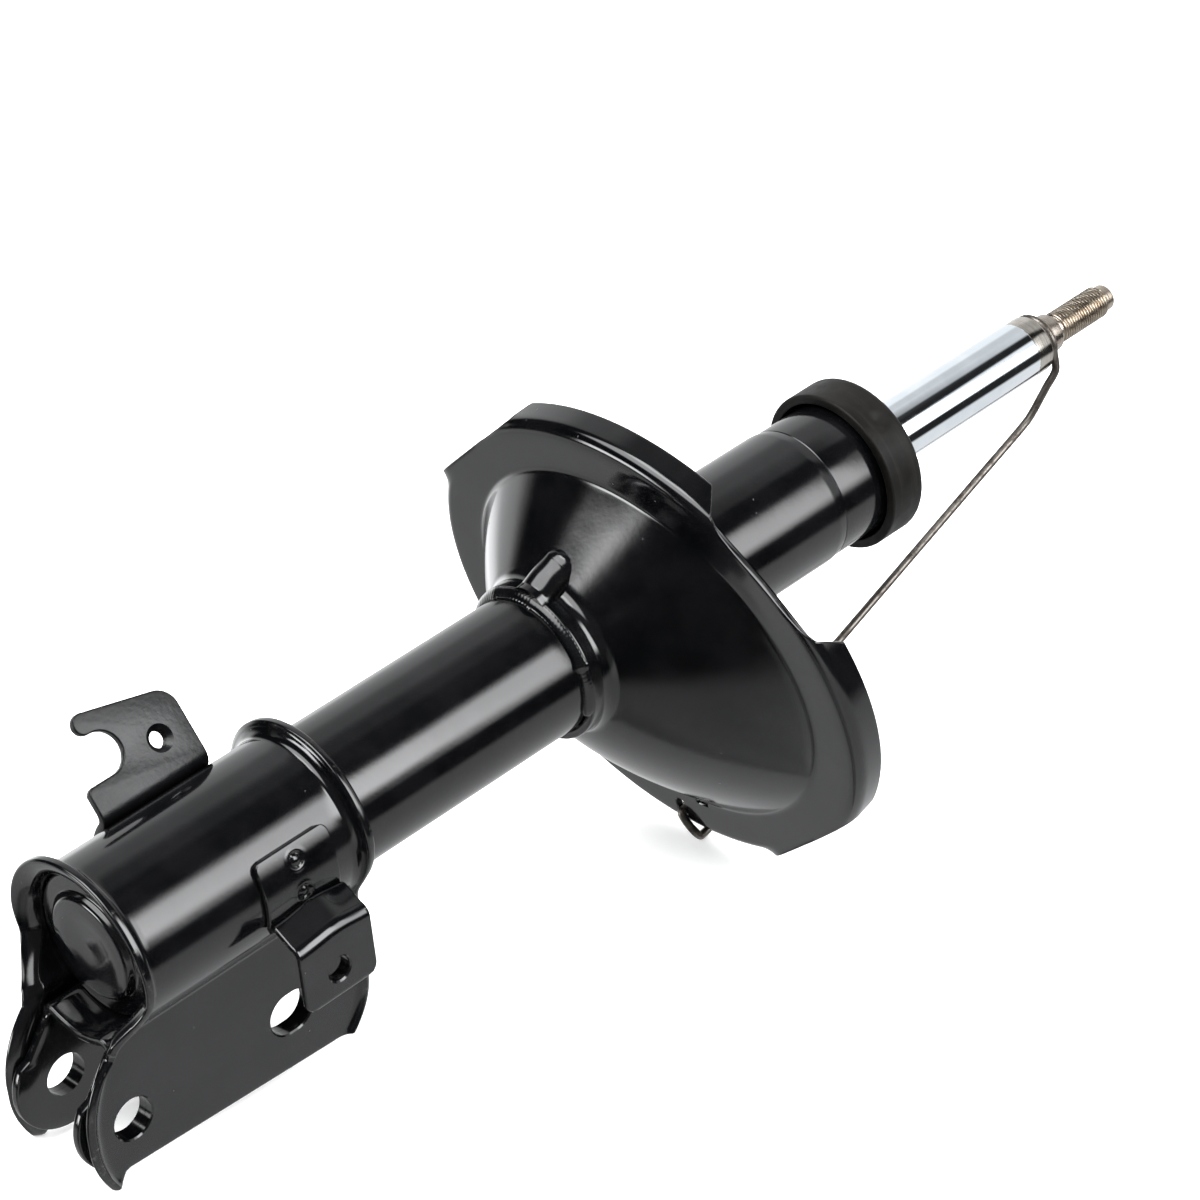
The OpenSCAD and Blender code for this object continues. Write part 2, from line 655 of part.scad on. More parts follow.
// The hook leaves the seat's rim at hook_out and comes back up through the slot
hook_out = [seat_r + wire_r + 0.4, 0.3, 0];
hook_in = [HOOK_X + 2, HOOK_Y, 0];
hook_half = (hook_in - hook_out) / 2;
HOOK_DEEP = 0.4;
hook_drop = HOOK_DEEP * norm(hook_half);
module transport_wire() {
    X = [1, 0, 0];
    Y = [0, 1, 0];
    leave = [8, -10.3, shoulder_z + 0.9];
    elbow = [23.4, -8, shoulder_z - 11.9];
    rim = in_seat_at(hook_out + [-3.2, 8.2, 9.2]);
    route = concat(
        arc3([0, 0, loop_z], X, Y, loop_r, -10, 262, 17),
        [[2, -loop_r - 0.1, loop_z], [4.8, -loop_r - 0.5, loop_z], leave],
        [for (k = [1 : 3]) mix(leave, elbow, k / 3)],
        [for (k = [1 : 6]) mix(elbow, rim, k / 6)],
        [in_seat_at(hook_out + [-1, 4.3, 9.2]), in_seat_at(hook_out + [0, 1.3, 7.4])],
        [in_seat_at(hook_out + [0, 0, 4.5])],
        [for (a = [0 : 20 : 180]) in_seat_at((hook_in + hook_out) / 2
            - cos(a) * hook_half - [0, 0, hook_drop * sin(a) + 0.6])],
        [in_seat_at(hook_in + [0, 0, 3.5]), in_seat_at(hook_in + [0, 0, 7])]
    );
    color("#6d6a64") round_wire(route, wire_r);
}

// ---------------------------------------------------------------- inside the tube

cyl_r = bore_r + bore_wall;
valve_top = 36;
cyl_top = tube_top - neck_len + 3;
module ring(r0, r1, z0, z1) {
    rotate_extrude() translate([r0, z0]) square([r1 - r0, z1 - z0]);
}

module inner_cylinder() {
    color("#8f9499") ring(bore_r, cyl_r, valve_top - 10, cyl_top);
}

module base_valve() {
    low = tube_low - FIT + FIT;
    color("#777b80") difference() {
        rotate_extrude() polygon([
            [4, low + 6], [9, low + 4], [boss_r - 3.6, low + 0.2], [boss_r - 1, low + 0.2],
            [boss_r - 1, low + 3.2], [cyl_r, low + 8], [cyl_r, valve_top - 10 - FIT],
            [bore_r - FIT, valve_top - 10 - FIT], [bore_r - FIT, valve_top - 2],
            [bore_r - 2, valve_top], [4, valve_top]
        ]);
        for (k = [0 : 5]) rotate([0, 0, 60 * k]) translate([10.5, 0, low - 1])
            cylinder(d = 3.4, h = valve_top);
    }
}
module base_valve_discs() {
    color("#b9bcc0") {
        for (k = [0 : 2]) ring(4.05, 13.6 - 1.6 * k, valve_top + 0.05 + 0.6 * k,
                               valve_top + 0.55 + 0.6 * k);
    }
}
module base_valve_bolt() {
    color("#6e7276") rotate_extrude() polygon([
        [0, tube_low + 1], [6.4, tube_low + 1], [6.4, tube_low + 4.9], [3.95, tube_low + 4.9],
        [3.95, valve_top + 1.9], [7, valve_top + 1.9], [6, valve_top + 5.4], [0, valve_top + 5.8]
    ]);
}

guide_low = tube_top - neck_len - 1;
guide_top = tube_top - 12;
bush_r = rod_r + run_gap + 1.6;
module rod_guide() {
    shell_r = neck_r - tube_wall - FIT;
    color("#83868a") rotate_extrude() polygon([
        [bush_r + 0.02, guide_low + 4], [bore_r - 2.5, guide_low], [bore_r - FIT, guide_low],
        [bore_r - FIT, cyl_top + FIT], [cyl_r + 1, cyl_top + FIT], [shell_r, cyl_top + 4],
        [shell_r, guide_top], [bush_r + 3, guide_top], [bush_r + 0.02, guide_top - 2]
    ]);
}
module guide_bush() {
    color("#a8762f") ring(rod_r + run_gap, bush_r, guide_low + 4.6, guide_top - 2.4);
}

seal_low = guide_top + 1.6;
module seal_washer() {
    shell_r = neck_r - tube_wall - FIT;
    color("#9a9da0") ring(rod_r + 1.2, shell_r, guide_top + FIT, seal_low - FIT);
}
seal_spring_r = 0.7;
seal_spring_at = [rod_r + 3.4, seal_low + 2.2];
module oil_seal() {
    shell_r = neck_r - tube_wall - FIT;
    color("#1c1d1f") rotate_extrude() difference() {
        polygon([
            [rod_r + 1.6, seal_low + 0.5], [rod_r + 2.4, seal_low + 3.6],
            [rod_r + 4.2, seal_low + 3.6], [rod_r + 5, seal_low], [shell_r, seal_low],
            [shell_r, tube_top - 2 - 2 * FIT], [rod_r + 2.6, tube_top - 2 - 2 * FIT],
            [rod_r + run_gap, tube_top - 3.4], [rod_r + 0.9, tube_top - 5.2],
            [rod_r + run_gap, seal_low + 1.4]
        ]);
        translate(seal_spring_at) circle(r = seal_spring_r + 0.05, $fn = 24);
    }
}
module seal_spring() {
    color("#c3c6c9") rotate_extrude() translate(seal_spring_at)
        circle(r = seal_spring_r, $fn = 24);
}

// ---------------------------------------------------------------- rod and piston

spigot_r = 6;
module piston_rod() {
    rod_low = piston_z + piston_len + 2;
    color("#cfd3d6") rotate_extrude() polygon([
        [0, piston_z - 12], [spigot_r - 0.6, piston_z - 12], [spigot_r, piston_z - 11.4],
        [spigot_r, rod_low], [rod_r - 0.6, rod_low], [rod_r, rod_low + 0.6],
        [rod_r, stop_z - 1], [rod_r - 0.8, stop_z - 0.6], [rod_r - 0.8, stop_z + 4.6],
        [rod_r, stop_z + 5], [rod_r, shoulder_z - 0.8], [rod_r - 0.8, shoulder_z],
        [collar_d / 2, shoulder_z], [collar_d / 2, stud_z - 0.8], [collar_d / 2 - 0.8, stud_z],
        [stud_d / 2 - 0.9, stud_z], [stud_d / 2 - 0.9, stud_z + 1.4], [stud_d / 2, stud_z + 2.2],
        [stud_d / 2, stud_z + thread_len], [stud_d / 2 - 1, stud_z + thread_len + 1],
        [stud_d / 2 - 1, tip_z - 1.6], [stud_d / 2 - 2, tip_z], [0, tip_z]
    ]);
}

band_z = piston_z + 5;
band_len = 8;
band_t = 1.9;
module piston() {
    core_r = bore_r - 0.35;
    groove_r = bore_r - run_gap - band_t - run_gap;
    color("#6b6f74") difference() {
        rotate_extrude() polygon([
            [spigot_r + 0.02, piston_z], [9, piston_z], [9, piston_z + 1.2],
            [12, piston_z + 1.2], [12, piston_z], [core_r - 0.6, piston_z],
            [core_r, piston_z + 0.6], [core_r, band_z - FIT], [groove_r, band_z - FIT],
            [groove_r, band_z + band_len + FIT], [core_r, band_z + band_len + FIT],
            [core_r, piston_z + piston_len - 0.6], [core_r - 0.6, piston_z + piston_len],
            [spigot_r + 0.02, piston_z + piston_len]
        ]);
        for (k = [0 : 7]) rotate([0, 0, 45 * k]) translate([10.5, 0, piston_z - 1])
            cylinder(d = 2.8, h = piston_len + 2);
    }
}
module piston_band() {
    color("#3d3b38") ring(bore_r - run_gap - band_t, bore_r - run_gap, band_z, band_z + band_len);
}
module rebound_discs() {
    color("#b9bcc0") for (k = [0 : 2])
        ring(spigot_r + 0.02, 12 - 1.8 * k, piston_z - 0.05 - 0.6 * (k + 1) + 0.05,
             piston_z - 0.05 - 0.6 * k);
}
module bump_discs() {
    color("#b9bcc0") for (k = [0 : 1])
        ring(spigot_r + 0.02, 12.6 - 2 * k, piston_z + piston_len + 0.05 + 0.9 * k,
             piston_z + piston_len + 0.85 + 0.9 * k);
}
module piston_nut() {
    color("#5d6165") difference() {
        translate([0, 0, piston_z - 10]) cylinder(d = 19, h = 8, $fn = 6);
        translate([0, 0, piston_z - 11]) cylinder(r = spigot_r + 0.02, h = 10);
    }
}

stop_z = piston_z + 66;
module rebound_stop() {
    color("#7c8085") rotate_extrude() polygon([
        [rod_r - 0.7, stop_z], [rod_r + 2.6, stop_z], [rod_r + 3.6, stop_z + 1],
        [rod_r + 3.6, stop_z + 4], [rod_r - 0.7, stop_z + 4]
    ]);
}
module rebound_rubber() {
    color("#242526") ring(rod_r + 0.1, rod_r + 3.8, stop_z + 4.2, stop_z + 12);
}

// ---------------------------------------------------------------- nodes

lay_down() outer_tube();
lay_down() base_cup();
lay_down() knuckle_bracket();
lay_down() ear_channel();
lay_down() bracket_weld();
lay_down() spring_seat();
lay_down() seat_weld();
lay_down() hose_bracket();
lay_down() sensor_bracket();
lay_down() end_cap();
lay_down() transport_wire();
lay_down() inner_cylinder();
lay_down() base_valve();
lay_down() base_valve_discs();
lay_down() base_valve_bolt();
lay_down() rod_guide();
lay_down() guide_bush();
lay_down() oil_seal();
lay_down() seal_spring();
lay_down() seal_washer();
lay_down() piston_band();
lay_down() piston_rod();
lay_down() piston();
lay_down() rebound_discs();
lay_down() bump_discs();
lay_down() piston_nut();
lay_down() rebound_stop();
lay_down() rebound_rubber();
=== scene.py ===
import math

import bmesh
import bpy
import numpy as np
from mathutils import Euler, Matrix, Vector


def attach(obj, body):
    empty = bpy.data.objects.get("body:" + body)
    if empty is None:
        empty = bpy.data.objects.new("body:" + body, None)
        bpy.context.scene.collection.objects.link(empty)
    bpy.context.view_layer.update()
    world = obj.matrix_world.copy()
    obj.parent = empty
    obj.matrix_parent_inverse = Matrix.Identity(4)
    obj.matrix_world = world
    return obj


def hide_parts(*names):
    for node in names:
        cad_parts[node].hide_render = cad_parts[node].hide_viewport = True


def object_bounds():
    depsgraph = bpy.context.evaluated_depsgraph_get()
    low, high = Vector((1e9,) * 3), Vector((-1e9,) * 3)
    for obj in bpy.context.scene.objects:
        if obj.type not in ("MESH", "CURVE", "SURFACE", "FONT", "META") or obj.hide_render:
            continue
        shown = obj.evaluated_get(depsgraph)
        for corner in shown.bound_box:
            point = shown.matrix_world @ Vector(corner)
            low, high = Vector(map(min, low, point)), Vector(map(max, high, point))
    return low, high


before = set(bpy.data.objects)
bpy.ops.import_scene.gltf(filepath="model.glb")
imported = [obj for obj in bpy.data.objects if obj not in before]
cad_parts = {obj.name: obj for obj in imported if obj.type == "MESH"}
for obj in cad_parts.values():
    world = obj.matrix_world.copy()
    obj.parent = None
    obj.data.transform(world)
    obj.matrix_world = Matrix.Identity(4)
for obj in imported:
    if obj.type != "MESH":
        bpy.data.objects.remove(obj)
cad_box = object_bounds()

# Looks of the strut assembly. Shapes are drawn in the strut's own frame, in mm:
# +Z runs up the axis to the rod, +X down through the ears of the knuckle bracket.
# to_row() lays them on their side in the row frame, in metres.

BODY, ROD = "strut_body", "rod"

# ---- sizes, mm

TUBE_R, TUBE_WALL, TUBE_LOW, TUBE_TOP = 25.5, 2.6, 8.0, 352.0
NECK_R, NECK_LEN = 25.0, 30.0
ROD_R, SHOULDER_Z = 11.0, 448.5
COLLAR_R, STUD_Z = 7.4, 458.5
STUD_R, THREAD_LEN, TIP_Z = 6.0, 27.5, 489.8
# Gap between pieces that fit into each other
FIT = 0.1

SHEET_T, BRACKET_LEN, EAR_W, EAR_REACH = 3.2, 93.5, 40.1, 70.5
BOLT_X, BOLT_Z, BOLT_GAP, BOLT_R, SLOT_EXTRA = 52.5, -5.9, 66.4, 7.5, 2.5
LIP_H = 6.5
WRAP_R = TUBE_R + FIT + SHEET_T / 2
EAR_MID = (EAR_W - SHEET_T) / 2
SLOT_Z = BOLT_Z + BOLT_GAP

SEAT_Z, SEAT_X, SEAT_Y, SEAT_TILT, SEAT_TURN = 237.0, 10.9, -10.2, 11.3, -8.6
BELL_R, SEAT_R, SEAT_LIP, LOW_LIP, FLAT_R, SEAT_T = 73.5, 92.3, 12.3, 5.5, 88.4, 3.0
COLLAR_OUT = TUBE_R + FIT + SEAT_T
SEAT_LOW, SEAT_COLLAR = SEAT_Z - 42, 5.0

CAP_R, CAP_LEN, CAP_WALL = 29.8, 16.0, 3.4
SENSOR_Z, SENSOR_W, SENSOR_OUT, SENSOR_HOLE_R, SENSOR_T = 65.0, 30.0, 42.0, 4.4, 2.0
HOSE_T, HOSE_ANGLE, HOSE_SLOT_R, HOSE_HOLE_R = 3.0, 38.0, 7.4, 3.2
WIRE_R = 1.5

# The ears' front corners and the wire's hook touch the floor: (reach, height)
EAR_CORNER, HOOK_END = (74, -16), (105, 254)
REST_TILT = math.atan((HOOK_END[0] - EAR_CORNER[0]) / (HOOK_END[1] - EAR_CORNER[1]))
COS_T, SIN_T = math.cos(REST_TILT), math.sin(REST_TILT)


def to_row(p):
    """Points in the strut's frame, in mm, as points in the row frame, in metres."""
    p = np.asarray(p, float)
    x, y, z = p[..., 0] - BOLT_X, p[..., 1], p[..., 2] - BOLT_Z
    return np.stack([z * COS_T + x * SIN_T, y, z * SIN_T - x * COS_T], -1) / 1000


def from_row(p):
    """The reverse of to_row()."""
    x, y, z = np.moveaxis(np.asarray(p, float) * 1000, -1, 0)
    return np.stack([x * SIN_T - z * COS_T + BOLT_X, y, x * COS_T + z * SIN_T + BOLT_Z], -1)


# ---- shape tools

def ease(t):
    t = np.clip(t, 0, 1)
    return t * t * (3 - 2 * t)


def cosd(a):
    return np.cos(np.radians(a))


def sind(a):
    return np.sin(np.radians(a))


def unit(v):
    v = np.asarray(v, float)
    return v / np.linalg.norm(v, axis=-1, keepdims=True)


def turn(x, y, a):
    """x and y turned by an angle in radians."""
    return x * np.cos(a) - y * np.sin(a), x * np.sin(a) + y * np.cos(a)


def polar(r, a, z):
    """Points from their distance from the axis, direction in degrees and height."""
    r, a, z = np.broadcast_arrays(r, a, z)
    return np.stack([r * cosd(a), r * sind(a), z], -1)


def hump(away, width):
    """1 in the middle, and less and less away from it."""
    return np.exp(-(away / width) ** 2)


def right_of(way):
    """The direction to the right of each direction in X and Y."""
    return np.stack([way[..., 1], -way[..., 0]], -1)


def with_z(xy, z):
    """Points or directions from their X and Y, and one Z each or for all."""
    return np.concatenate([xy, np.broadcast_to(z, xy.shape[:-1])[..., None]], -1)


def lengths(route):
    """How far along a route each of its points lies."""
    return np.concatenate([[0], np.cumsum(np.linalg.norm(np.diff(route, axis=0), axis=1))])


def densify(profile, step):
    """A profile with more points, about a step apart."""
    out = []
    for a, b in zip(profile[:-1], profile[1:]):
        n = max(1, int(np.linalg.norm(b - a) / step))
        out += [a + (b - a) * k / n for k in range(n)]
    return out + [profile[-1]]


def arc(centre, r, start, end, steps):
    a = np.linspace(start, end, steps + 1)
    return np.stack([centre[0] + r * cosd(a), centre[1] + r * sind(a)], -1)


# Half angle, in radians, from which a corner is left as it is
NEARLY_STRAIGHT = 1.54


def fillet(points, radius, steps=4, closed=True):
    """A 2-D outline with its corners rounded; radius is one number or one per corner."""
    pts = [np.array(p, float) for p in points]
    n = len(pts)
    radii = list(radius) if hasattr(radius, "__len__") else [radius] * n
    out = []
    for i, p in enumerate(pts):
        if radii[i] <= 0 or (not closed and i in (0, n - 1)):
            out.append(p)
            continue
        a, b = pts[i - 1] - p, pts[(i + 1) % n] - p
        len_a, len_b = np.linalg.norm(a), np.linalg.norm(b)
        a, b = a / len_a, b / len_b
        half = math.acos(max(-1.0, min(1.0, float(a @ b)))) / 2
        if half > NEARLY_STRAIGHT:
            out.append(p)
            continue
        back = min(radii[i] / math.tan(half), 0.45 * len_a, 0.45 * len_b)
        r = back * math.tan(half)
        centre = p + unit(a + b) * r / math.sin(half)
        u, v = p + a * back - centre, p + b * back - centre
        swing = math.acos(max(-1.0, min(1.0, float(u @ v) / (r * r))))
        for k in range(steps + 1):
            t = k / steps
            out.append(centre + (math.sin((1 - t) * swing) * u + math.sin(t * swing) * v)
                       / math.sin(swing))
    return np.array(out)


def grid_faces(columns, rows, close_columns=True, close_rows=True):
    faces = []
    for i in range(columns if close_columns else columns - 1):
        for j in range(rows if close_rows else rows - 1):
            i2, j2 = (i + 1) % columns, (j + 1) % rows
            faces.append((i * rows + j, i * rows + j2, i2 * rows + j2, i2 * rows + j))
    return faces


def turned(radius, height):
    """Points round the axis from a grid of radii, one row for each angle."""
    a = (np.arange(len(radius)) * 2 * math.pi / len(radius))[:, None]
    height = np.broadcast_to(height, radius.shape)
    return np.stack([radius * np.cos(a), radius * np.sin(a), height], -1)


def thread_phase(height, pitch, steps):
    """Where each point lies between two turns of a thread, from 0 to 1."""
    return (height / pitch - np.arange(steps)[:, None] / steps) % 1


def tube_faces(rings, sides):
    """Faces of a closed tube of rings, with a flat face at each end."""
    last = (rings - 1) * sides
    ends = [list(range(sides))[::-1], list(range(last, last + sides))]
    return grid_faces(rings, sides, False, True) + ends


def lathe(profile, steps=192, move=None):
    """A profile of (radius, height) turned round the axis. One that starts and ends
    on the axis is open; any other is a closed loop."""
    prof = np.asarray(profile, float)
    points = turned(np.tile(prof[:, 0], (steps, 1)), prof[:, 1])
    if move:
        points = move(points)
    closed = max(abs(prof[0, 0]), abs(prof[-1, 0])) > 1e-9
    return points.reshape(-1, 3), grid_faces(steps, len(prof), True, closed)


def sheet_loops(mid, normal, first, last, half, corner, steps=3):
    """Closed loops round a sheet with rounded rims, one loop for each column. mid and
    normal are (columns, rows, 3); first and last point out of the sheet at its two
    rims; half is half its thickness in each column. Also returns how much of a rim
    each point is."""
    half = np.broadcast_to(half, len(mid))[:, None]
    r = np.minimum(corner, 0.9 * half)
    a = np.radians(np.linspace(0, 90, steps + 1))[1:]

    def rim(i, side, out, angle):
        h = half - r + r * math.cos(angle)
        return mid[:, i] + side * h * normal[:, i] + (r * math.sin(angle) - r) * out

    def face(side):
        rows = [rim(0, side, first, 0)]
        rows += [mid[:, i] + side * half * normal[:, i] for i in range(1, mid.shape[1] - 1)]
        return rows + [rim(mid.shape[1] - 1, side, last, 0)]

    outer, inner = face(1), face(-1)[::-1]
    end = [rim(mid.shape[1] - 1, 1, last, t) for t in a]
    end += [rim(mid.shape[1] - 1, -1, last, t) for t in a[::-1]]
    start = [rim(0, -1, first, t) for t in a] + [rim(0, 1, first, t) for t in a[::-1]]
    loops = np.stack(outer + end + inner + start, 1)
    weight = [0.0] * len(outer) + [1.0] * len(end) + [0.0] * len(inner) + [1.0] * len(start)
    n = len(outer)
    for i in (0, n - 1, n + len(end), n + len(end) + n - 1):
        weight[i] = 0.4
    return loops, np.tile(weight, (len(mid), 1)), n, len(end)


def sheet_caps(columns, rows, n, m):
    """Faces that close the two ends of a row of sheet loops."""
    caps = []
    for base, flip in ((0, False), ((columns - 1) * rows, True)):
        inner0 = n + m
        for i in range(n - 1):
            caps.append([i, i + 1, inner0 + n - 2 - i, inner0 + n - 1 - i])
        caps.append([n - 1] + list(range(n, n + m)) + [inner0])
        caps.append([inner0 + n - 1] + list(range(inner0 + n, rows)) + [0])
        for f in caps[-(n + 1):]:
            f[:] = [base + k for k in (f[::-1] if flip else f)]
    return caps


def smooth_route(points, step):
    """A smooth curve through the points, sampled about every step."""
    p = np.asarray(points, float)
    p = np.vstack([2 * p[0] - p[1], p, 2 * p[-1] - p[-2]])
    out = []
    for i in range(1, len(p) - 2):
        n = max(2, int(np.linalg.norm(p[i + 1] - p[i]) / step))
        knot = [0.0]
        for k in range(3):
            knot.append(knot[-1] + max(np.linalg.norm(p[i + k] - p[i + k - 1]), 1e-6) ** 0.5)
        for t in np.linspace(knot[1], knot[2], n, endpoint=False):
            a = [((knot[k + 1] - t) * p[i - 1 + k] + (t - knot[k]) * p[i + k])
                 / (knot[k + 1] - knot[k]) for k in range(3)]
            b = [((knot[k + 2] - t) * a[k] + (t - knot[k]) * a[k + 1])
                 / (knot[k + 2] - knot[k]) for k in range(2)]
            out.append(((knot[2] - t) * b[0] + (t - knot[1]) * b[1]) / (knot[2] - knot[1]))
    return np.array(out + [p[-2]])


def sweep(route, radii, sides=24):
    """A round tube along a route, with a radius at each point."""
    route = np.asarray(route, float)
    tangent = unit(np.gradient(route, axis=0))
    side = unit(np.cross(tangent[0], [0.31, 0.62, 0.72]))
    rings = []
    a = np.arange(sides) * 2 * math.pi / sides
    for i, p in enumerate(route):
        side = unit(side - (side @ tangent[i]) * tangent[i])
        up = np.cross(tangent[i], side)
        rings.append(p + radii[i] * (np.outer(np.cos(a), side) + np.outer(np.sin(a), up)))
    return np.concatenate(rings), tube_faces(len(route), sides)


def prism(outline, heights, grow=None):
    """An outline in X and Y drawn up through the heights, moved out by grow at each."""
    outline = np.asarray(outline, float)
    edge = np.roll(outline, -1, 0) - np.roll(outline, 1, 0)
    out = unit(right_of(edge))
    grow = [0] * len(heights) if grow is None else grow
    points = [with_z(outline + g * out, z) for z, g in zip(heights, grow)]
    return np.concatenate(points), tube_faces(len(heights), len(outline))


# Half length of a slot that is a round hole
ROUND = 0.001


def stadium(half, r, steps=20):
    """Anticlockwise outline of a slot that is 2 * half + 2 * r long in X."""
    return np.concatenate([arc((half, 0), r, -90, 90, steps), arc((-half, 0), r, 90, 270, steps)])


def new_object(name, data):
    obj = bpy.data.objects.new(name, data)
    bpy.context.scene.collection.objects.link(obj)
    return obj


def mesh_object(name, points, faces, rim=None):
    mesh = bpy.data.meshes.new(name)
    mesh.from_pydata(to_row(points).tolist(), [], [list(f) for f in faces])
    layer = mesh.attributes.new("rim", "FLOAT", "POINT")
    if rim is not None:
        layer.data.foreach_set("value", np.asarray(rim, np.float32).ravel())
    work = bmesh.new()
    work.from_mesh(mesh)
    bmesh.ops.remove_doubles(work, verts=work.verts, dist=1e-7)
    bmesh.ops.recalc_face_normals(work, faces=work.faces)
    work.to_mesh(mesh)
    work.free()
    return new_object(name, mesh)


def settle(obj):
    """Applies the object's modifiers to its mesh."""
    bpy.context.view_layer.update()
    graph = bpy.context.evaluated_depsgraph_get()
    mesh = bpy.data.meshes.new_from_object(obj.evaluated_get(graph))
    old, obj.data = obj.data, mesh
    obj.modifiers.clear()
    bpy.data.meshes.remove(old)


def sheet_object(name, loops, rim, n, m):
    """A sheet's loops, as sheet_loops() gives them, as a mesh with closed ends."""
    columns, rows = loops.shape[:2]
    faces = grid_faces(columns, rows, False, True) + sheet_caps(columns, rows, n, m)
    return mesh_object(name, loops.reshape(-1, 3), faces, rim)


def combine(obj, points, faces, how="DIFFERENCE"):
    tool = mesh_object("tool", points, faces)
    step = obj.modifiers.new("combine", "BOOLEAN")
    step.operation, step.solver, step.object = how, "EXACT", tool
    settle(obj)
    bpy.data.objects.remove(tool)


def combine_on_tab(obj, at, shape, how="DIFFERENCE"):
    """Combines with a shape that was drawn up the axis, laid square to a tab."""
    points, faces = shape
    points = np.column_stack([points[:, 0], -points[:, 2], points[:, 1]]) + at
    combine(obj, points, faces, how)


def soften(obj, width):
    """Rounds the sharp edges; width is in mm."""
    step = obj.modifiers.new("soften", "BEVEL")
    step.width, step.segments = width / 1000, 3
    step.limit_method, step.angle_limit = "ANGLE", math.radians(35)
    step.use_clamp_overlap = True
    settle(obj)


def finish_piece(obj, nodes, materials=None, body=BODY, sharp=40):
    """Shades a piece, gives it its materials, and says what it replaces and rides on."""
    for polygon in obj.data.polygons:
        polygon.use_smooth = True
    obj.data.set_sharp_from_angle(angle=math.radians(sharp))
    obj.data.materials.clear()
    for material in materials or [PAINT]:
        obj.data.materials.append(material)
    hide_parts(*nodes)
    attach(obj, body)


# ---- materials

def add(tree, kind, inputs=None, **settings):
    """A shader node; each input is a value or another node's output."""
    node = tree.nodes.new(kind)
    for key, value in settings.items():
        setattr(node, key, value)
    for key, value in (inputs or {}).items():
        if isinstance(value, bpy.types.NodeSocket):
            tree.links.new(value, node.inputs[key])
        else:
            node.inputs[key].default_value = value
    return node


def place(tree, scale=(1, 1, 1)):
    """Object coordinates turned so that X runs along the strut, then scaled."""
    at = add(tree, "ShaderNodeTexCoord").outputs["Object"]
    level = add(tree, "ShaderNodeMapping", {"Vector": at, "Rotation": (0, REST_TILT, 0)})
    return add(tree, "ShaderNodeMapping",
               {"Vector": level.outputs["Vector"], "Scale": scale}).outputs["Vector"]


def noise(tree, at, scale, detail=2.0, rough=0.5):
    return add(tree, "ShaderNodeTexNoise", {"Vector": at, "Scale": scale, "Detail": detail,
                                            "Roughness": rough}).outputs["Fac"]


def cells(tree, at, scale):
    return add(tree, "ShaderNodeTexVoronoi", {"Vector": at, "Scale": scale}).outputs["Distance"]


def span(tree, value, from_low, from_high, low, high):
    """The value taken smoothly from one range to another."""
    limits = {"From Min": from_low, "From Max": from_high, "To Min": low, "To Max": high}
    return add(tree, "ShaderNodeMapRange", {"Value": value, **limits},
               interpolation_type="SMOOTHSTEP").outputs["Result"]


def maths(tree, what, a, b=0.0):
    return add(tree, "ShaderNodeMath", {0: a, 1: b}, operation=what).outputs[0]


def times(tree, a, b):
    return maths(tree, "MULTIPLY", a, b)


def blend_colour(tree, share, *colours):
    """From one colour to another; 6, 7 and 2 are the Mix node's colour sockets."""
    a, b = [c if isinstance(c, bpy.types.NodeSocket) else (*c, 1) for c in colours]
    return add(tree, "ShaderNodeMix", {0: share, 6: a, 7: b}, data_type="RGBA").outputs[2]


def bump(tree, height, strength, distance, below=None):
    inputs = {"Height": height, "Strength": strength, "Distance": distance}
    if below is not None:
        inputs["Normal"] = below
    return add(tree, "ShaderNodeBump", inputs).outputs["Normal"]


def start_material(name):
    material = bpy.data.materials.new(name)
    material.use_nodes = True
    tree = material.node_tree
    tree.nodes.clear()
    shader = add(tree, "ShaderNodeBsdfPrincipled")
    out = add(tree, "ShaderNodeOutputMaterial")
    tree.links.new(shader.outputs["BSDF"], out.inputs["Surface"])
    return material, tree, shader


def make_material(name, recipe, *numbers, metallic=1.0, ior=None, **more):
    """A material whose recipe gives its colour, roughness and normal."""
    material, tree, shader = start_material(name)
    shader.inputs["Metallic"].default_value = metallic
    if ior:
        shader.inputs["IOR"].default_value = ior
    sockets = recipe(tree, place(tree), *numbers, **more)
    for key, socket in zip(("Base Color", "Roughness", "Normal"), sockets):
        tree.links.new(socket, shader.inputs[key])
    return material


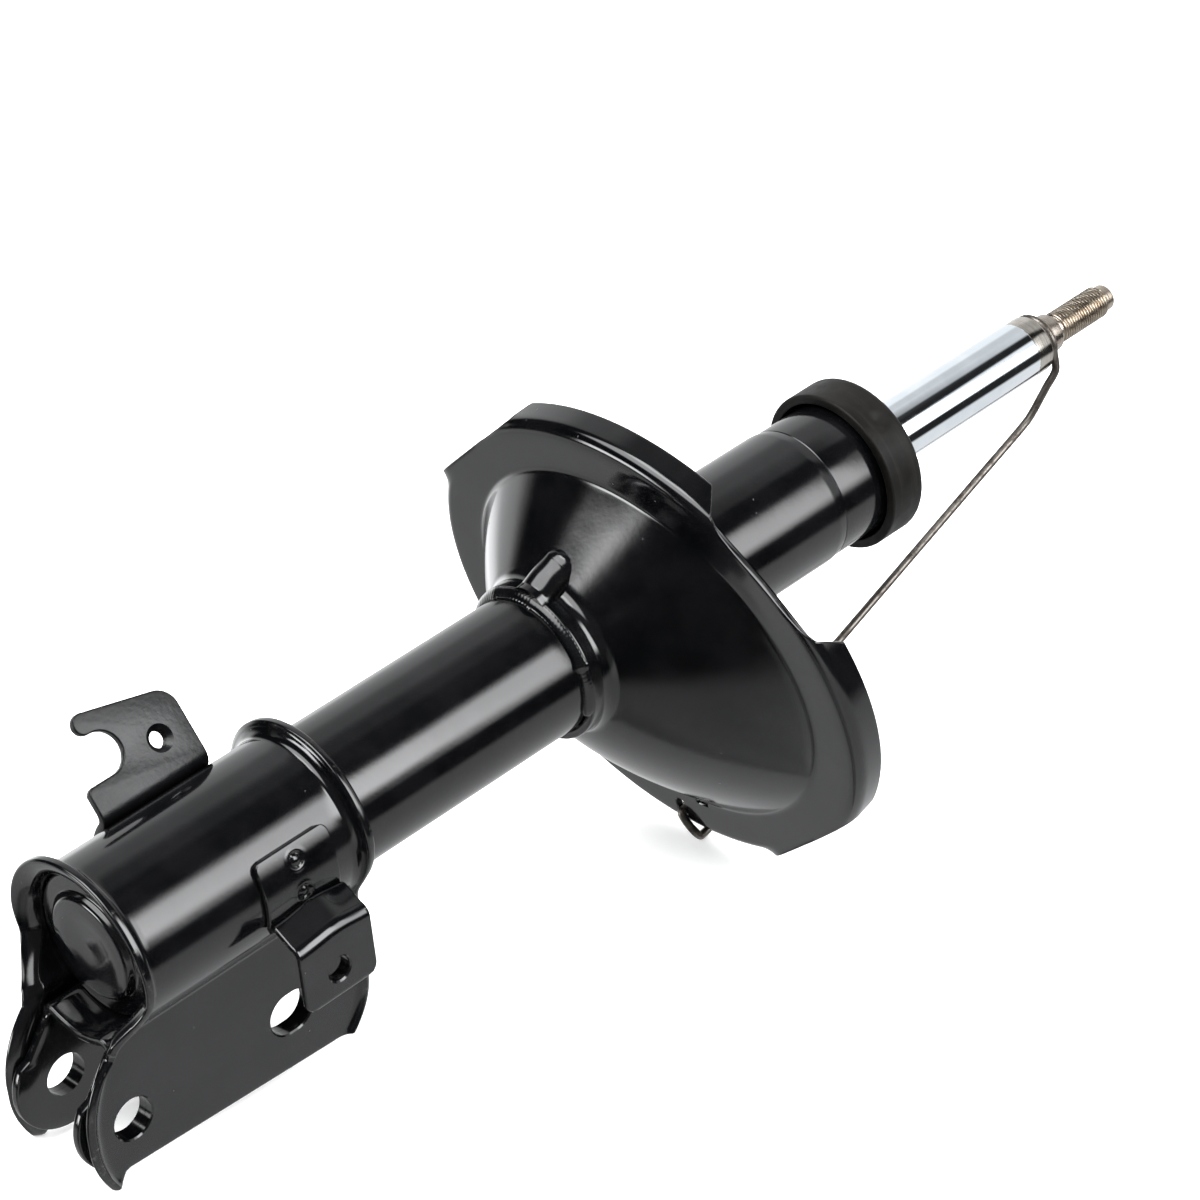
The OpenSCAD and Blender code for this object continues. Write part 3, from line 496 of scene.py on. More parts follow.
def gloss_paint(tree, at, rough=(0.085, 0.14), peel=0.04, wave=0.35):
    """Black paint dipped on steel sheet: a broad unevenness, fine orange peel, pits, small
    rough specks whose pale colour is a painted glint, and cut edges where it lies thin."""
    tone = noise(tree, at, 55, 4, 0.6)
    base = blend_colour(tree, span(tree, tone, 0.35, 0.65, 0, 1),
                        (0.0008, 0.0009, 0.0011), (0.0022, 0.0022, 0.0026))
    specks = times(tree, span(tree, cells(tree, at, 260), 0.05, 0.1, 1, 0),
                   span(tree, noise(tree, at, 130, 1), 0.66, 0.72, 0, 1))
    # The small rough specks are coloured pale grey as painted glints (painted highlight)
    painted_glints = blend_colour(tree, specks, base, (0.03, 0.03, 0.029))
    rim = add(tree, "ShaderNodeAttribute", attribute_name="rim").outputs["Fac"]
    chips = span(tree, noise(tree, at, 420, 3, 0.65), 0.56, 0.78, 0, 1)
    thin = times(tree, rim, chips)
    colour = blend_colour(tree, thin, painted_glints, (0.03, 0.0294, 0.0285))
    smears = noise(tree, place(tree, (0.5, 1, 1)), 38, 5, 0.62)
    roughness = span(tree, smears, 0.3, 0.72, rough[0], rough[1])
    roughness = maths(tree, "ADD", roughness, times(tree, specks, 0.3))
    roughness = maths(tree, "ADD", roughness, times(tree, thin, 0.12))
    broad = bump(tree, noise(tree, at, 42, 2, 0.4), wave, 0.00035)
    fine = bump(tree, noise(tree, at, 620, 2, 0.5), peel, 0.0002, broad)
    pits = times(tree, span(tree, cells(tree, at, 190), 0.03, 0.07, 1, 0),
                 span(tree, noise(tree, at, 90, 1), 0.58, 0.63, 0, -1))
    pitted = bump(tree, maths(tree, "ADD", pits, specks), 0.5, 0.00012, fine)
    return colour, roughness, pitted


def satin_black(tree, at):
    """Thin brownish-black finish on the cap, with fine grain and rubbed places."""
    patches = span(tree, noise(tree, at, 70, 5, 0.6), 0.3, 0.7, 0, 1)
    base = blend_colour(tree, patches, (0.0035, 0.0033, 0.003), (0.007, 0.0065, 0.006))
    rings = noise(tree, place(tree, (1, 0.03, 0.03)), 900, 2)
    colour = blend_colour(tree, span(tree, rings, 0.55, 0.75, 0, 0.5), base, (0.014, 0.013, 0.012))
    roughness = span(tree, noise(tree, at, 210, 4, 0.6), 0.3, 0.7, 0.4, 0.5)
    return colour, roughness, bump(tree, noise(tree, at, 1500, 3, 0.6), 0.12, 0.0001)


def turned_metal(tree, at, dark, light, rough, marks=0.15, patches=40, tint=None):
    """Steel with turning marks round the axis, stains and a little oxide."""
    rings = noise(tree, place(tree, (1, 0.015, 0.015)), 2600, 3, 0.6)
    stains = noise(tree, at, patches * 3, 5, 0.65)
    share = span(tree, maths(tree, "ADD", times(tree, rings, 0.45), times(tree, stains, 0.55)),
                 0.36, 0.64, 0, 1)
    colour = blend_colour(tree, share, dark, light)
    if tint:
        rust = span(tree, noise(tree, at, patches * 9, 4, 0.7), 0.52, 0.72, 0, 0.7)
        colour = blend_colour(tree, rust, colour, tint)
    roughness = span(tree, stains, 0.3, 0.7, rough[0], rough[1])
    return colour, roughness, bump(tree, rings, marks, 0.00006)


def polished_chrome(tree, at):
    """Ground and polished chrome: a clear mirror with very fine marks round the rod."""
    cloud = noise(tree, at, 60, 4, 0.6)
    colour = blend_colour(tree, span(tree, cloud, 0.35, 0.65, 0, 1),
                          (0.70, 0.755, 0.80), (0.78, 0.825, 0.86))
    rings = noise(tree, place(tree, (1, 0.02, 0.02)), 3800, 2, 0.5)
    roughness = span(tree, noise(tree, at, 130, 5, 0.65), 0.3, 0.75, 0.05, 0.10)
    return colour, roughness, bump(tree, rings, 0.05, 0.00002)


def drawn_wire(tree, at):
    """Bare spring wire: grey, with marks along it and dull brown oxide."""
    oxide = span(tree, noise(tree, at, 240, 5, 0.7), 0.42, 0.66, 0, 1)
    colour = blend_colour(tree, oxide, (0.17, 0.155, 0.14), (0.075, 0.064, 0.055))
    roughness = span(tree, oxide, 0, 1, 0.34, 0.55)
    return colour, roughness, bump(tree, noise(tree, at, 1400, 4, 0.65), 0.25, 0.00008)


def cast_metal(tree, at, dark, light, rough, scale=900, depth=0.0001):
    """Sintered, moulded or cast parts: a fine grain and blotchy tone."""
    tone = span(tree, noise(tree, at, 120, 5, 0.6), 0.32, 0.68, 0, 1)
    colour = blend_colour(tree, tone, dark, light)
    pores = span(tree, cells(tree, at, scale), 0.0, 0.35, 1, 0)
    colour = blend_colour(tree, times(tree, pores, 0.5), colour, tuple(v * 0.5 for v in dark))
    roughness = span(tree, tone, 0, 1, rough[0], rough[1])
    return colour, roughness, bump(tree, noise(tree, at, scale * 1.6, 3, 0.6), 0.3, depth)


PAINT = make_material("gloss_black_paint", gloss_paint, metallic=0.0, ior=1.52)
WELD_PAINT = make_material("gloss_black_weld", gloss_paint, (0.1, 0.18), 0.12, 0.5,
                           metallic=0.0, ior=1.52)
GRAIN_PAINT = make_material("grained_black_paint", gloss_paint, (0.28, 0.4), 0.42, 0.5,
                            metallic=0.0, ior=1.38)
CAP = make_material("satin_black_cap", satin_black, metallic=0.0, ior=1.2)
CHROME = make_material("hard_chrome", polished_chrome)
# Turned metals: dark and light tone, lowest and highest roughness, depth of the marks
BARE_ROD = make_material("bare_rod_steel", turned_metal, (0.34, 0.32, 0.29), (0.5, 0.48, 0.44),
                         (0.09, 0.17), 0.15, tint=(0.4, 0.34, 0.28))
COLLAR_STEEL = make_material("bare_collar_steel", turned_metal, (0.27, 0.235, 0.2),
                             (0.5, 0.45, 0.4), (0.2, 0.34), 0.35, tint=(0.26, 0.18, 0.13))
THREAD_STEEL = make_material("rolled_thread_steel", turned_metal, (0.32, 0.275, 0.225),
                             (0.5, 0.445, 0.375), (0.24, 0.32), 0.05, 14, (0.3, 0.22, 0.15))
WIRE = make_material("bare_wire", drawn_wire)
PLAIN = make_material("plain_steel", turned_metal, (0.4, 0.41, 0.42), (0.58, 0.59, 0.6),
                      (0.22, 0.38), 0.25)
SPRING = make_material("spring_steel", turned_metal, (0.5, 0.51, 0.53), (0.68, 0.69, 0.71),
                       (0.12, 0.22), 0.1)
BRONZE = make_material("bush_bronze", turned_metal, (0.42, 0.27, 0.11), (0.62, 0.42, 0.2),
                       (0.25, 0.4), 0.2)
SINTERED = make_material("sintered_iron", cast_metal, (0.2, 0.205, 0.21), (0.33, 0.335, 0.34),
                         (0.45, 0.62))
RUBBER = make_material("seal_rubber", cast_metal, (0.02, 0.02, 0.022), (0.034, 0.034, 0.036),
                       (0.6, 0.78), metallic=0.0)
PTFE = make_material("filled_ptfe", cast_metal, (0.08, 0.075, 0.07), (0.13, 0.12, 0.11),
                     (0.42, 0.55), 1500, 0.00005, metallic=0.0)

# ---- tube and cup


def make_tube():
    wall, neck_z = TUBE_R - TUBE_WALL, TUBE_TOP - NECK_LEN
    outline = [(wall, TUBE_LOW), (TUBE_R, TUBE_LOW), (TUBE_R, neck_z - 3.4),
               (NECK_R + 0.1, neck_z - 0.2), (NECK_R - 0.25, neck_z + 0.1), (NECK_R, neck_z + 0.5),
               (NECK_R, TUBE_TOP), (NECK_R - 5, TUBE_TOP), (NECK_R - 5, TUBE_TOP - 2),
               (wall, TUBE_TOP - 2.1)]
    profile = fillet(outline, [0.3, 0.7, 14, 0.1, 0.15, 0.4, 2.2, 0.4, 0.4, 0.3], 6)
    obj = mesh_object("tube_shell", *lathe(profile, 224))
    finish_piece(obj, ["outer_tube"], sharp=50)


def make_cup():
    """Pressed cup in the tube's lower end, with a boss that stands out."""
    t, boss_r, boss_h = 3.0, 19.2, 3.0
    cup_r, floor_z = TUBE_R - TUBE_WALL - FIT, TUBE_LOW - FIT
    low = floor_z - t
    outline = [(0, low - boss_h + 0.6), (boss_r - 8, low - boss_h + 0.3),
               (boss_r - 1.2, low - boss_h + 0.5), (boss_r + 0.2, low), (TUBE_R, low),
               (TUBE_R, floor_z), (cup_r, floor_z), (cup_r, floor_z + 9),
               (cup_r - t + 0.6, floor_z + 9), (cup_r - t + 0.6, floor_z + 1),
               (boss_r - 2, floor_z), (boss_r - 3.4, floor_z - boss_h + 1),
               (0, floor_z - boss_h + 0.6)]
    profile = fillet(outline, [0, 6, 2.2, 1.2, 1.4, 0.2, 0.1, 0.5, 0.5, 1.5, 1, 1.5, 0], 6, False)

    def uneven(p):
        """The press leaves a shallow dish and a soft swell in the boss."""
        r = np.hypot(p[..., 0], p[..., 1])
        below = p[..., 2] < low + 0.5
        ring = 0.12 * hump(r - 13.5, 2.2) - 0.2 * hump(r, 8.5)
        p[..., 2] = np.where(below, p[..., 2] - ring, p[..., 2])
        return p

    obj = mesh_object("pressed_cup", *lathe(densify(profile, 0.7), 192, uneven))
    finish_piece(obj, ["base_cup"], sharp=50)


# ---- knuckle bracket

# How far a lip stands out, its height and its slope at the rim in degrees
WRAP_LIP, EAR_LIP = (LIP_H, 5.5, 84.0), (2.8, 5.5, 60.0)
EAR_FROM = math.degrees(math.asin(EAR_MID / WRAP_R))
WRAP_X = WRAP_R * math.cos(math.radians(EAR_FROM))
# The lower edge's height on the wrap and on the ears, its lean and its corner's point
WRAP_LOW, EAR_LOW, EAR_LEAN, EAR_POINT = -1.5, -24.6, 0.055, 4.2


def low_edge(x):
    """Height of the bracket's lower edge, falling from the wrap to the bolt, then rounded."""
    near = WRAP_LOW + (EAR_LOW - WRAP_LOW) * ease(
        np.maximum((x - 4) / (BOLT_X - 8), 0) ** 0.75)
    return np.where(x < BOLT_X, near, EAR_LOW + 0.018 * (x - BOLT_X) ** 2)


def high_edge(x):
    """Height of the bracket's upper edge."""
    return BRACKET_LEN - 0.027 * np.maximum(x - BOLT_X, 0) ** 2


def bracket_path():
    """[x, y, outward x, outward y, share of the ears' lip] round the bracket."""
    # The bend between wrap and ear has its centre at x_c, y_c
    bend = 3.6
    y_c = EAR_MID + bend
    x_c = math.sqrt((WRAP_R + bend) ** 2 - y_c ** 2)
    meet = math.degrees(math.atan2(y_c, x_c))
    ear = [[x, EAR_MID, 0, 1, 1] for x in np.linspace(EAR_REACH, x_c, 44)[:-1]]
    for a in np.linspace(-90, -180 + meet, 9)[:-1]:
        ear.append([x_c + bend * cosd(a), y_c + bend * sind(a), -cosd(a), -sind(a), 1])
    wrap = []
    for a in np.linspace(meet, 360 - meet, 188):
        away = min(a, 360 - a) - EAR_FROM
        wrap.append([WRAP_R * cosd(a), WRAP_R * sind(a), cosd(a), sind(a),
                     1 - ease(away / 60)])
    far = [[x, -y, nx, -ny, s] for x, y, nx, ny, s in ear[::-1]]
    return np.array(ear + wrap + far, float)


def lip_rows(path, low, steps=9):
    """Offset, height and slope angle of one lip, from its rim inwards, by column."""
    share = path[:, 4:5]
    out, deep, full = [share * e + (1 - share) * w for e, w in zip(EAR_LIP, WRAP_LIP)]
    a = full * (1 - np.linspace(0, 1, steps + 1)[None, :])
    rise = out * (1 - cosd(a)) / (1 - cosd(full))
    run = deep * (1 - sind(a) / sind(full))
    edge = sind(full) * SHEET_T / 2
    bend = np.degrees(np.arctan2(out * sind(a) / (1 - cosd(full)), deep * cosd(a) / sind(full)))
    x = path[:, 0:1]
    if low:
        return rise, low_edge(x) + edge + run, bend
    return rise, high_edge(x) - edge - run, -bend


def relax(values, share, rounds=150):
    """Smooth values down the columns, most where share is 1."""
    values = values.copy()
    for _ in range(rounds):
        mean = (values[:-2] + values[2:]) / 2
        values[1:-1] += 0.5 * share[1:-1, :, None] * (mean - values[1:-1])
    return values


def lean_ears(p, x):
    """The ears' lower edge leans towards the rod and turns down at its front corner."""
    z = p[..., 2]
    down = EAR_LEAN * z + EAR_POINT * ease((-11 - z) / 5)
    p[..., 0] += down * ease((x - WRAP_X) / (EAR_REACH - WRAP_X))
    return p


def drill_ears(obj):
    """The round bolt hole and the slot above it, with rounded mouths on both ears."""
    outer = EAR_W / 2
    half, grow = [outer - 0.5, outer, outer + 2, 40], [0, 0.5, 2.5, 2.5]
    heights = [-h for h in half[::-1]] + half
    for z, length in ((BOLT_Z, ROUND), (SLOT_Z, SLOT_EXTRA / 2)):
        points, faces = prism(stadium(length, BOLT_R, 32), heights, grow[::-1] + grow)
        points = np.column_stack([points[:, 1] + BOLT_X, points[:, 2], points[:, 0] + z])
        combine(obj, points, faces)


def make_bracket():
    path = bracket_path()
    # Extra columns at both ends of the path round off the ears' front edges
    corner, around = 0.9, np.array([90, 60, 30, 0])
    path = np.vstack([np.repeat(path[:1], 4, 0), path[2:-2], np.repeat(path[-1:], 4, 0)])
    half = np.full(len(path), SHEET_T / 2)
    for way in (1, -1):
        path[::way][:4, 0] += corner * (sind(around) - 1)
        half[::way][:4] -= corner * (1 - cosd(around))

    low, high = lip_rows(path, True), lip_rows(path, False)
    between = np.concatenate([np.linspace(0, 0.12, 7)[1:-1], np.linspace(0.12, 1, 20)[:-1]])
    mid_z = low[1][:, -1:] + (high[1][:, -1:] - low[1][:, -1:]) * between[None, :]
    zero = np.zeros_like(mid_z)
    rise, z, bend = [np.hstack([a, b, c[:, ::-1]])
                     for a, b, c in zip(low, (zero, mid_z, zero), high)]
    # The lips run smoothly through the corners between the wrap and the ears, which lie
    # at these columns from either end
    run = lengths(path[:, :2])
    corners = run[[48, -49]]
    near = hump(run[:, None] - corners, 15).max(axis=1)
    loose = np.sqrt(np.clip(rise / 3, 0, 1)) * near[:, None]
    side = np.repeat(path[:, None, 2:4], z.shape[1], 1)
    flat = relax(path[:, None, 0:2] + rise[..., None] * side, loose)
    side = unit(relax(side, loose))
    mid, normal = with_z(flat, z), with_z(cosd(bend)[..., None] * side, sind(bend))

    def out_of(column, sign):
        b = np.abs(bend[:, column])
        return with_z(sind(b)[:, None] * side[:, column], sign * cosd(b))

    loops, rim, n, m = sheet_loops(mid, normal, out_of(0, -1), out_of(-1, 1), half, corner)
    loops = lean_ears(loops, path[:, 0][:, None])
    for way in (1, -1):
        rim[::way][:4] = np.maximum(rim[::way][:4], [[1], [1], [0.7], [0.3]])
    obj = sheet_object("wrapped_bracket", loops, rim, n, m)
    drill_ears(obj)
    finish_piece(obj, ["knuckle_bracket"], sharp=38)


def make_channel():
    """Second layer in the ears, with a saddle under the tube."""
    saddle_r, mid_y, bend, end_r = WRAP_R, EAR_MID - SHEET_T - FIT, 2.6, 19.5
    low_z, high_z = -8.0, BOLT_GAP + 12
    c = (math.sqrt((saddle_r + bend) ** 2 - (mid_y - bend) ** 2), mid_y - bend)
    a0 = math.degrees(math.atan2(c[1], c[0]))
    xs = np.concatenate([np.linspace(c[0], BOLT_X - end_r, 6)[1:],
                         BOLT_X - end_r * cosd(np.linspace(0, 178, 40))[1:]])
    half_path = np.vstack([arc((0, 0), saddle_r, 0, a0, 23)[1:],
                           arc(c, bend, 180 + a0, 90, 13)[1:], [[x, mid_y] for x in xs]])
    path = np.vstack([half_path[::-1] * [1, -1], [[saddle_r, 0]], half_path])
    normal2 = right_of(unit(np.gradient(path, axis=0)))
    x = path[:, 0]
    reach = np.sqrt(np.maximum(end_r ** 2 - (x - BOLT_X) ** 2, 0))
    inside = np.abs(x - BOLT_X) < end_r
    # The sheet ends in a round beyond the bolts, and is wider on the tube's side of them
    before = x < BOLT_X
    low = np.where(inside, np.minimum(np.where(before, low_z, 99), BOLT_Z - reach), low_z)
    # A straight edge runs from the saddle's corner down to the round
    low = np.where(x < BOLT_X - 12.2, np.minimum(low_z, low_z - 0.8 * (x - c[0])), low)
    high = np.where(inside, np.maximum(np.where(before, high_z, -99), SLOT_Z + reach), high_z)
    t = np.linspace(0, 1, 12)
    z = low[:, None] + (high - low)[:, None] * t[None, :]
    mid = with_z(np.repeat(path[:, None, :], len(t), 1), z)
    normal = with_z(np.repeat(normal2[:, None, :], len(t), 1), 0.0)
    up = np.tile([0, 0, 1.0], (len(path), 1))
    loops, rim, n, m = sheet_loops(mid, normal, -up, up, SHEET_T / 2 - 0.02, 0.7)
    obj = sheet_object("inner_channel", loops, rim, n, m)
    drill_ears(obj)
    finish_piece(obj, ["ear_channel"])


# ---- weld beads

def bead(name, start, end, section, r_ref, nodes, ripple=1.5, lumps=(), seed=3):
    """A weld bead round the tube from one angle to another. section gives its
    (radius, height, share of ripple) from its buried side round to its open one."""
    rng = np.random.default_rng(seed)
    section = np.array(section, float)
    centre = section[:, :2].mean(0)
    a = np.linspace(start, end, int(abs(end - start) * math.radians(1) * r_ref / 0.22))
    along = np.radians(a - start) * r_ref
    knots = np.arange(0, along[-1] + 4, 3.1)
    wobble = np.interp(along, knots, rng.uniform(-1, 1, len(knots)))
    taper = np.sqrt(np.clip(np.minimum(along, along[-1] - along) / 2.6, 0.02, 1))
    rings = []
    share, lag = section[:, 2], 0.9 * np.abs(np.linspace(-1, 1, len(section)))
    for i, angle in enumerate(a):
        wave = np.abs(np.sin(math.pi * (along[i] / ripple + lag))) ** 0.7 - 0.5
        swell = 1 + share * (0.11 * wave + 0.07 * wobble[i])
        for at, size, wide in lumps:
            swell = swell + share * size * hump(angle - at, wide)
        p = centre + (section[:, :2] - centre) * (swell * (0.35 + 0.65 * taper[i]))[:, None]
        rings.append(polar(p[:, 0], angle, p[:, 1]))
    obj = mesh_object(name, np.concatenate(rings), tube_faces(len(a), len(section)))
    finish_piece(obj, nodes, [WELD_PAINT], sharp=60)


def make_welds():
    r0 = TUBE_R + 0.05
    z = SEAT_LOW
    section = [(r0 - 0.3, z - 0.05, 0), (r0 - 0.3, z - 2.3, 0.1), (r0 + 0.3, z - 2.5, 0.6),
               (r0 + 0.9, z - 2.2, 1), (r0 + 1.5, z - 1.8, 1), (r0 + 2.0, z - 1.3, 1),
               (r0 + 2.4, z - 0.7, 1), (r0 + 2.8, z - 0.1, 0.9), (r0 + 2.9, z + 0.3, 0.6),
               (r0 + 2.5, z + 0.4, 0)]
    bead("seat_collar_bead", 68, 290, section, 27.5, ["seat_weld"],
         lumps=((247, 0.75, 3.2), (150, 0.35, 5), (188, 0.3, 2.5)), seed=11)
    away = np.array([[WRAP_R, 0, 1, 0, 0.0]])
    rise, height, bend = [v[0] for v in lip_rows(away, False, 12)]
    side = -SHEET_T / 2 - FIT
    lip = [(WRAP_R + rise[k] + side * cosd(bend[k]), height[k] + side * sind(bend[k]))
           for k in (8, 6, 4, 3)]
    top = lip[-1]
    section = [(r0, lip[0][1] + 0.2, 0)] + [(r, h, 0) for r, h in lip]
    section += [(top[0] - 0.4, top[1] + 0.7, 0.8), (top[0] - 1.1, top[1] + 1.1, 1),
                (top[0] - 1.9, top[1] + 1.4, 1), (top[0] - 2.7, top[1] + 1.6, 0.8),
                (r0, top[1] + 1.5, 0.2)]
    bead("bracket_lip_bead", 104, 256, section, 28, ["bracket_weld"], ripple=1.8, seed=5)


# ---- spring seat

# Bends from collar to bell, bell to flange and flange to lip; the bell's first and last slope
NECK_BEND, FOOT_BEND, LIP_BEND, BELL_FROM, BELL_TO = 6.0, 4.0, 4.4, 31.0, 42.0
# Directions of the three straight edges, and half the angle each takes up
SEAT_FLATS = (137.0, -42.5, -131.5)
FLAT_HALF = math.degrees(math.acos(FLAT_R / SEAT_R))
# The low lip opens out over this many degrees towards a straight edge
OPEN_SPAN = 16.0
# Direction and radius of the drain rib
RIB_AT, RIB_R = -176.0, 7.6
# How far the tall lips' ends lean back: (flat, side) and mm
LIP_ENDS = {(0, 1): 3.5, (1, -1): 3.5, (2, 1): 8.0, (2, -1): 8.0}
# Place of the wire's slot in the seat's plane
HOOK = (83.6, 7.0)


def seat_place(p, share=1.0):
    """Points in the plane of the seat, tilted and shifted by a share, in the strut's frame."""
    x, y, z = p[..., 0], p[..., 1], p[..., 2]
    way = math.radians(SEAT_TURN)
    x, y = turn(x, y, -way)
    x, z = turn(x, z, np.radians(SEAT_TILT * np.asarray(share)))
    x, y = turn(x, y, way)
    return np.stack([x + SEAT_X * share, y + SEAT_Y * share, z], -1)


def is_low(a):
    return SEAT_FLATS[1] < a < SEAT_FLATS[0]


def opening(a):
    if is_low(a):
        return 1 - ease((min(a - SEAT_FLATS[1], SEAT_FLATS[0] - a) - FLAT_HALF) / OPEN_SPAN)
    return 1 - ease(max(a - SEAT_FLATS[0], SEAT_FLATS[1] - a) / FLAT_HALF)


def lip_at(s, a):
    full = 90 * (1 - opening(a))
    slope = np.minimum(full, np.degrees(s / LIP_BEND))
    past = s - LIP_BEND * np.radians(slope)
    return (SEAT_R - LIP_BEND * (1 - sind(slope)) + past * cosd(slope),
            LIP_BEND * (1 - cosd(slope)) + past * sind(slope), slope)


def lip_length(a):
    """Length of the lip's sheet in one direction, to its rim or to a straight edge."""
    bend_len = LIP_BEND * math.pi / 2
    full = bend_len + (LOW_LIP if is_low(a) else SEAT_LIP) - LIP_BEND
    s = np.linspace(0, full, 240)
    r, h, _ = lip_at(s, a)
    end = full
    for i, flat in enumerate(SEAT_FLATS):
        off = (a - flat + 180) % 360 - 180
        if abs(off) < 40:
            past = np.nonzero(r > FLAT_R / cosd(off))[0]
            if len(past):
                end = min(end, s[past[0]])
        if abs(off) > FLAT_HALF + 12:
            continue
        side = 1 if off > 0 else -1
        if abs(off) > FLAT_HALF and (i, side) not in LIP_ENDS:
            continue
        cut_h = SEAT_T + 0.2
        away = (abs(off) - FLAT_HALF) * math.radians(1) * SEAT_R
        if away > 0:
            cut_h += (SEAT_LIP - 2.2) * away / LIP_ENDS[(i, side)]
        over = np.nonzero(h > cut_h)[0]
        if len(over):
            end = min(end, s[over[0]])
    return max(end, 0.3)


def seat_angles():
    """Directions of the seat's columns, close together where a lip ends."""
    marks = {-180.0, 180.0}
    for i, flat in enumerate(SEAT_FLATS):
        for side in (-1, 1):
            edge = flat + side * FLAT_HALF
            marks.add(edge)
            lean = LIP_ENDS.get((i, side))
            if lean:
                marks.add(edge + side * math.degrees(lean / SEAT_R))
    marks = sorted((m + 180) % 360 - 180 for m in marks if m != 180.0) + [180.0]
    out = []
    for a, b in zip(marks[:-1], marks[1:]):
        if b - a < 1e-6:
            continue
        step = 0.45 if b - a < 6 else 0.95
        n = max(2, int(math.ceil((b - a) / step)))
        out += list(np.linspace(a, b, n, endpoint=False))
    return np.array(out)


def bell_profile():
    """Rows of the underside up to the lip: share, axis height, radius, height, slope."""
    rows = [[0, SEAT_LOW + k, COLLAR_OUT, 0, 90] for k in (0, 1.2, 2.4, 3.5, 4.4)]
    for a in np.linspace(90, BELL_FROM, 10)[:-1]:
        rows.append([0, SEAT_LOW + SEAT_COLLAR + NECK_BEND * cosd(a),
                     COLLAR_OUT + NECK_BEND * (1 - sind(a)), 0, a])
    foot_r = BELL_R + FOOT_BEND * 0.42
    r0 = COLLAR_OUT + NECK_BEND * (1 - sind(BELL_FROM))
    z0 = SEAT_LOW + SEAT_COLLAR + NECK_BEND * cosd(BELL_FROM)
    r1 = foot_r - FOOT_BEND * sind(BELL_TO)
    for u in np.linspace(0, 1, 26):
        rows.append([u, z0 + (SEAT_Z - z0) * (0.8 * u + 0.2 * u * u), r0 + (r1 - r0) * u,
                     -FOOT_BEND * (1 - cosd(BELL_TO)) * u, BELL_FROM + (BELL_TO - BELL_FROM) * u])
    for a in np.linspace(BELL_TO, 0, 8)[1:]:
        rows.append([1, SEAT_Z, foot_r - FOOT_BEND * sind(a), -FOOT_BEND * (1 - cosd(a)), a])
    for r in np.linspace(foot_r, SEAT_R - LIP_BEND, 5)[1:-1]:
        rows.append([1, SEAT_Z, r, 0, 0])
    return np.array(rows, float)


def drain_rib():
    """A round finger up the neck from the collar, sunk half its width into the sheet."""
    line = smooth_route([(COLLAR_OUT - 4.4, 0.2, 0), (COLLAR_OUT - 3.6, 4, 0), (28.6, 9.6, 0.02),
                         (33.0, 16.0, 0.1), (36.6, 19.3, 0.18), (40.6, 22.4, 0.24)], 0.4)
    route = seat_place(polar(line[:, 0], RIB_AT, 0.0), line[:, 2])
    route[:, 2] += line[:, 1] + SEAT_LOW
    along = lengths(route)
    left = np.clip((along[-1] - along) / RIB_R, 0, 1)
    return sweep(route, RIB_R * np.sqrt(np.clip(1 - (1 - left) ** 2, 0.003, 1)), 48)


def make_seat():
    angles = seat_angles()
    bell = bell_profile()
    lips = np.array([lip_length(a) for a in angles])
    steps = 16
    mids, normals, outs = [], [], []
    for a, length in zip(angles, lips):
        r, h, slope = lip_at(np.linspace(0, length, steps), a)
        lip = np.column_stack([np.ones(steps), np.full(steps, SEAT_Z), r, h, slope])
        share, axis, radius, height, tilt = np.vstack([bell, lip]).T
        n2 = np.stack([sind(tilt), -cosd(tilt)], -1)
        p2 = np.stack([radius, height], -1) - SEAT_T / 2 * n2

        def spin(v):
            return polar(v[:, 0], a, v[:, 1])

        mids.append(seat_place(spin(p2), share) + np.outer(axis, [0, 0, 1]))
        normals.append(seat_place(spin(p2 + n2), share) - seat_place(spin(p2), share))
        out = np.array([[cosd(tilt[-1]), sind(tilt[-1])]])
        outs.append((seat_place(spin(out), 1.0) - seat_place(spin(0 * out), 1.0))[0])
    mid, normal = np.array(mids), unit(np.array(normals))
    down = np.tile([0, 0, -1.0], (len(angles), 1))
    loops, rim, _, _ = sheet_loops(mid, normal, down, np.array(outs), SEAT_T / 2, 0.9, 4)
    columns, rows = loops.shape[:2]
    obj = mesh_object("stamped_seat", loops.reshape(-1, 3), grid_faces(columns, rows), rim)
    combine(obj, *drain_rib(), "UNION")
    points, faces = prism(stadium(ROUND, TUBE_R + FIT, 96), [SEAT_LOW - 9, SEAT_LOW + 60])
    combine(obj, points, faces)
    # The wire's slot and a drain slot: x, y, half length, width, angle
    for x, y, half, w, angle in ((*HOOK, 1.6, 4.4, 0), (75, -5, 1.7, 2.4, 86)):
        points, faces = prism(stadium(half, w / 2), [-6, 0, 0.5, SEAT_T - 0.5, SEAT_T, 9],
                              [0.5, 0.5, 0, 0, 0.5, 0.5])
        px, py = turn(points[:, 0], points[:, 1], math.radians(angle))
        at = seat_place(np.column_stack([px + x, py + y, points[:, 2]])) + [0, 0, SEAT_Z]
        combine(obj, at, faces)
    finish_piece(obj, ["spring_seat"], sharp=42)


# ---- cap

CAP_STAKES = (215, 335, 95)


